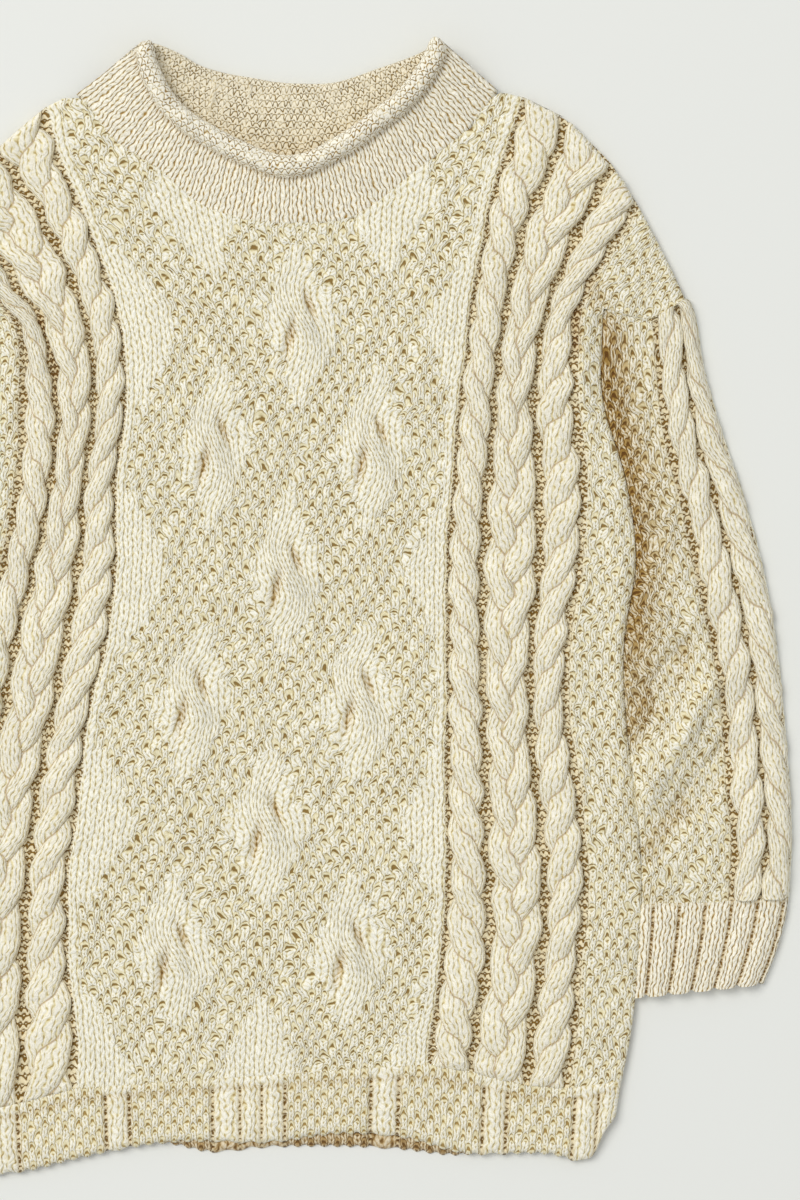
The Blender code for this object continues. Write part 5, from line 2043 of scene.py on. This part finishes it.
    def _colour(self, node: Adder, place: Socket, height: Socket, stitch: Socket, fibres: Socket) -> Socket:
        """Colour of the yarn: light on top, with painted shade that is warm in the gaps and dark in the
        gutters.

        Args:
            node: adds a node to the material.
            place: Object coordinates.
            height: height of the yarn.
            stitch: a vector that is the same all over a stitch.
            fibres: mottling of the fibres.

        Returns:
            The colour.
        """
        depth, shadow = (
            node("Attribute", attribute_name=name).node.outputs["Fac"] for name in ("depth", "shadow"))
        # Painted shade: the lower the yarn lies, the more it takes the side and gap colours; painted shadow
        # lowers it more.
        lit = node("Math.MULTIPLY_ADD", shadow, -0.13, height)
        low = node("MapRange", lit, 0.1, 0.6, 0.0, 1.0, **SMOOTH_STEP)
        top = node("MapRange", lit, 0.4, 0.95, 0.0, 1.0, **SMOOTH_STEP)
        yarn = node("Mix", low, data_type="RGBA", inputs={6: linear(self.hollow), 7: linear(self.shade)})
        yarn = node("Mix", top, data_type="RGBA", inputs={6: yarn, 7: linear(self.light)})
        # Painted shade in gutters and creases, by the depth mark: dark at the bottom, the crossing strands
        # lighter.
        sunk = node("Mix", low, data_type="RGBA", inputs={6: linear(self.gutter), 7: linear(self.rung)})
        yarn = node("Mix", depth, data_type="RGBA", inputs={6: yarn, 7: sunk})
        # Painted shadow: the shadow colour is multiplied in by the shadow mark, less on the tops of the yarn.
        tint = node("Math.MULTIPLY_ADD", top, -0.72, 1.0)
        tint = node("Math.MULTIPLY", tint, shadow)
        yarn = node("Mix", tint, data_type="RGBA", blend_type="MULTIPLY",
                    inputs={6: yarn, 7: linear(self.shadow)})
        # Painted shade line along the crease where two strands of a cable meet.
        if self.creased:
            sunk = node("Math.MULTIPLY", height, -0.22)
            line = node("Attribute", attribute_name="crease").node.outputs["Fac"]
            line = node("Math.ABSOLUTE", line)
            line = node("Math.ADD", line, sunk)
            line = node("MapRange", line, -0.16, 0.16, 0.65, 0.0, **SMOOTH_STEP)
            yarn = node("Mix", line, data_type="RGBA", inputs={6: yarn, 7: linear(self.seam)})

        # Each stitch, each broad area and each tuft of fibres is a little lighter or darker.
        each = node("TexWhiteNoise", stitch, noise_dimensions="3D")
        broad = node("TexNoise", place, inputs={"Scale": 1 / (60 * MM), "Detail": 2.0})
        value = node("Math.MULTIPLY_ADD", each, 0.12, 0.83)
        value = node("Math.MULTIPLY_ADD", broad, 0.10, value)
        value = node("Math.MULTIPLY_ADD", fibres, 0.24, value)
        return node("VectorMath.SCALE", yarn, inputs={"Scale": value})


@dataclass(frozen=True)
class PaperFinish:
    """Matt white paper of the table, very slightly cool."""

    name: str = "matt_paper"
    colour: str = "#EDEEE8"
    roughness: float = 0.9
    grain: float = 0.8
    bump: float = 0.05

    def material(self) -> Material:
        """Make the material."""
        material, node = new_material(self.name)
        place = node("TexCoord").node.outputs["Object"]
        grain = node("TexNoise", place, inputs={"Scale": 1 / (self.grain * MM), "Detail": 2.0})
        normal = node("Bump", inputs={"Height": grain, "Strength": 0.1, "Distance": self.bump * MM})
        shader = node("BsdfPrincipled", inputs={
            "Base Color": linear(self.colour), "Roughness": self.roughness, "Normal": normal})
        node("OutputMaterial", shader)
        return material


@dataclass(frozen=True)
class Studio:
    """Table, soft light from the upper left and a camera that looks straight down."""

    centre: tuple[float, float]  # what the camera looks at, mm in the frame of the solids
    distance: float = 2333.0  # height of the camera over the cloth
    cloth_height: float = 8.0  # height of the cloth over the table
    lens: float = 100.0  # focal length
    sensor: float = 36.0  # length of the sensor's long side
    floor_size: float = 4.0  # m
    # Where the large light stands, m; it is turned to the middle of the table.
    key_place: tuple[float, float, float] = (-4.7, 3.6, 8.3)
    key_size: float = 5.5  # m
    key_energy: float = 583.0  # W
    key_colour: tuple[float, float, float] = (1.0, 0.985, 0.96)  # its colour, slightly warm
    fill_colour: str = "#F4F6FA"  # colour of the room's light, slightly cool
    fill_strength: float = 0.58

    def build(self, paper: Material) -> None:
        """Make the table, the lights and the camera.

        Args:
            paper: the table's material.
        """
        bpy.context.scene.view_settings.view_transform = "Standard"
        self._table(paper)
        self._lights()
        self._camera()

    def _table(self, paper: Material) -> None:
        """Make the table top.

        Args:
            paper: its material.
        """
        bm = bmesh.new()
        bmesh.ops.create_grid(bm, x_segments=1, y_segments=1, size=0.5 * self.floor_size)
        mesh = bpy.data.meshes.new("table")
        bm.to_mesh(mesh)
        bm.free()
        mesh.materials.append(paper)
        table = bpy.data.objects.new("table", mesh)
        bpy.context.scene.collection.objects.link(table)

    def _lights(self) -> None:
        """Make a large soft light at the upper left and an even fill."""
        key = bpy.data.lights.new("window", "AREA")
        key.energy = self.key_energy
        key.size = self.key_size
        key.color = self.key_colour
        window = bpy.data.objects.new("window", key)
        window.location = self.key_place
        aim = (-window.location).to_track_quat("-Z", "Y")
        window.rotation_euler = aim.to_euler()
        bpy.context.scene.collection.objects.link(window)
        world = bpy.data.worlds.new("soft_room")
        world.use_nodes = True
        fill = world.node_tree.nodes["Background"]
        fill.inputs["Color"].default_value = linear(self.fill_colour)
        fill.inputs["Strength"].default_value = self.fill_strength
        bpy.context.scene.world = world

    def _camera(self) -> None:
        """Make the camera."""
        data = bpy.data.cameras.new("camera")
        data.lens = self.lens
        data.sensor_width = self.sensor
        camera = bpy.data.objects.new("camera", data)
        camera.location = (self.centre[0] * MM, self.centre[1] * MM, (self.distance + self.cloth_height) * MM)
        bpy.context.scene.collection.objects.link(camera)
        bpy.context.scene.camera = camera


def frame_shift(layout: PanelLayout) -> tuple[float, float]:
    """Find where the tables lie in the frame of the solids.

    Args:
        layout: where the front's stitches lie.

    Returns:
        What is added to x and y, mm.
    """
    low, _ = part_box("front")
    rises = np.linspace(0, UNDERARM_RISE, 400)
    left_x, _ = layout.place(np.zeros_like(rises), rises)
    lines = np.linspace(0, LAST_LINE, 200)
    _, hem_y = layout.place(lines, np.zeros_like(lines))
    return low.x / MM - float(left_x.min()), low.y / MM - float(hem_y.min()) - HEM_SEAM


def main() -> None:
    """Knit every piece and set up the studio."""
    logging.basicConfig(level=logging.INFO, format="%(name)s: %(message)s")
    front_layout, back_layout = PanelLayout(NECK_FRONT), PanelLayout(NECK_BACK)
    shift = frame_shift(front_layout)
    log.info("tables are shifted by %.2f, %.2f mm", *shift)
    knitter = Knitter(shift)
    panel_wool = WoolFinish("undyed_wool_panel").material()
    strand_wool = WoolFinish("undyed_wool_cable", light="#F4EFDE", hollow="#A88A46", joint=0.3, between=0.24,
                             creased=True, smooth=(1.0, 1.0)).material()
    band_wool = WoolFinish("undyed_wool_band", light="#FAF5E4", shade="#EADEB6", hollow="#A27C38",
                           gutter="#7E5C22", rung="#D2BC8A", between=0.0, within=0.1, bridged=0.42,
                           smooth=(1.0, SMOOTH_UP)).material()
    hem_wool = WoolFinish("undyed_wool_hem", light="#F6F2E2", hollow="#A4864A", between=0.2,
                          smooth=(1.0, SMOOTH_UP)).material()
    # The inside is the same yarn in painted shade: darker and warmer, for pieces that lie low and under the
    # others.
    shaded_inside_wool = WoolFinish("undyed_wool_inside_shaded", light="#F5ECD3", shade="#E2D1A6").material()

    FrontPanel(front_layout).build(knitter, panel_wool, strand_wool)
    BackPanel(back_layout).build(knitter, shaded_inside_wool)
    front_hem = HemBand("hem_front", HEM_FRONT_EDGE, FRONT_BOTTOM, front_layout)
    front_hem.build(knitter, hem_wool, ["hem_back"])
    back_hem = HemBand("hem_back", HEM_BACK_EDGE, 0.0, front_layout, relief=0.4, shade=0.75, overlap=0.0)
    back_hem.build(knitter, shaded_inside_wool, [])
    for side in Side:
        sleeve = Sleeve(side, front_layout, SLEEVE_ROWS, SLEEVE_FOLDS, SLEEVE_CREASES)
        sleeve.build(knitter, panel_wool, strand_wool)
        cuff = Cuff(side, front_layout, CUFF_ROWS, SLEEVE_FOLDS, SLEEVE_CREASES)
        cuff.build(knitter, band_wool)
    front_neck = FrontNeckband("neckband_front", front_layout, ROLL, radius=7.6, base=FRONT_BOTTOM)
    front_neck.build(knitter, band_wool, (0.345, 0.066), ["front"])
    back_neck = BackNeckband("neckband_back", back_layout, BACK_RIM, radius=3.6, base=0.0, tails=YARN_ENDS,
                             stitches=56)
    back_neck.build(knitter, shaded_inside_wool, (0.33, 0.07), [])
    Studio((CAMERA_OVER.x + shift[0], CAMERA_OVER.y + shift[1])).build(PaperFinish().material())


if __name__ == "__main__":
    main()
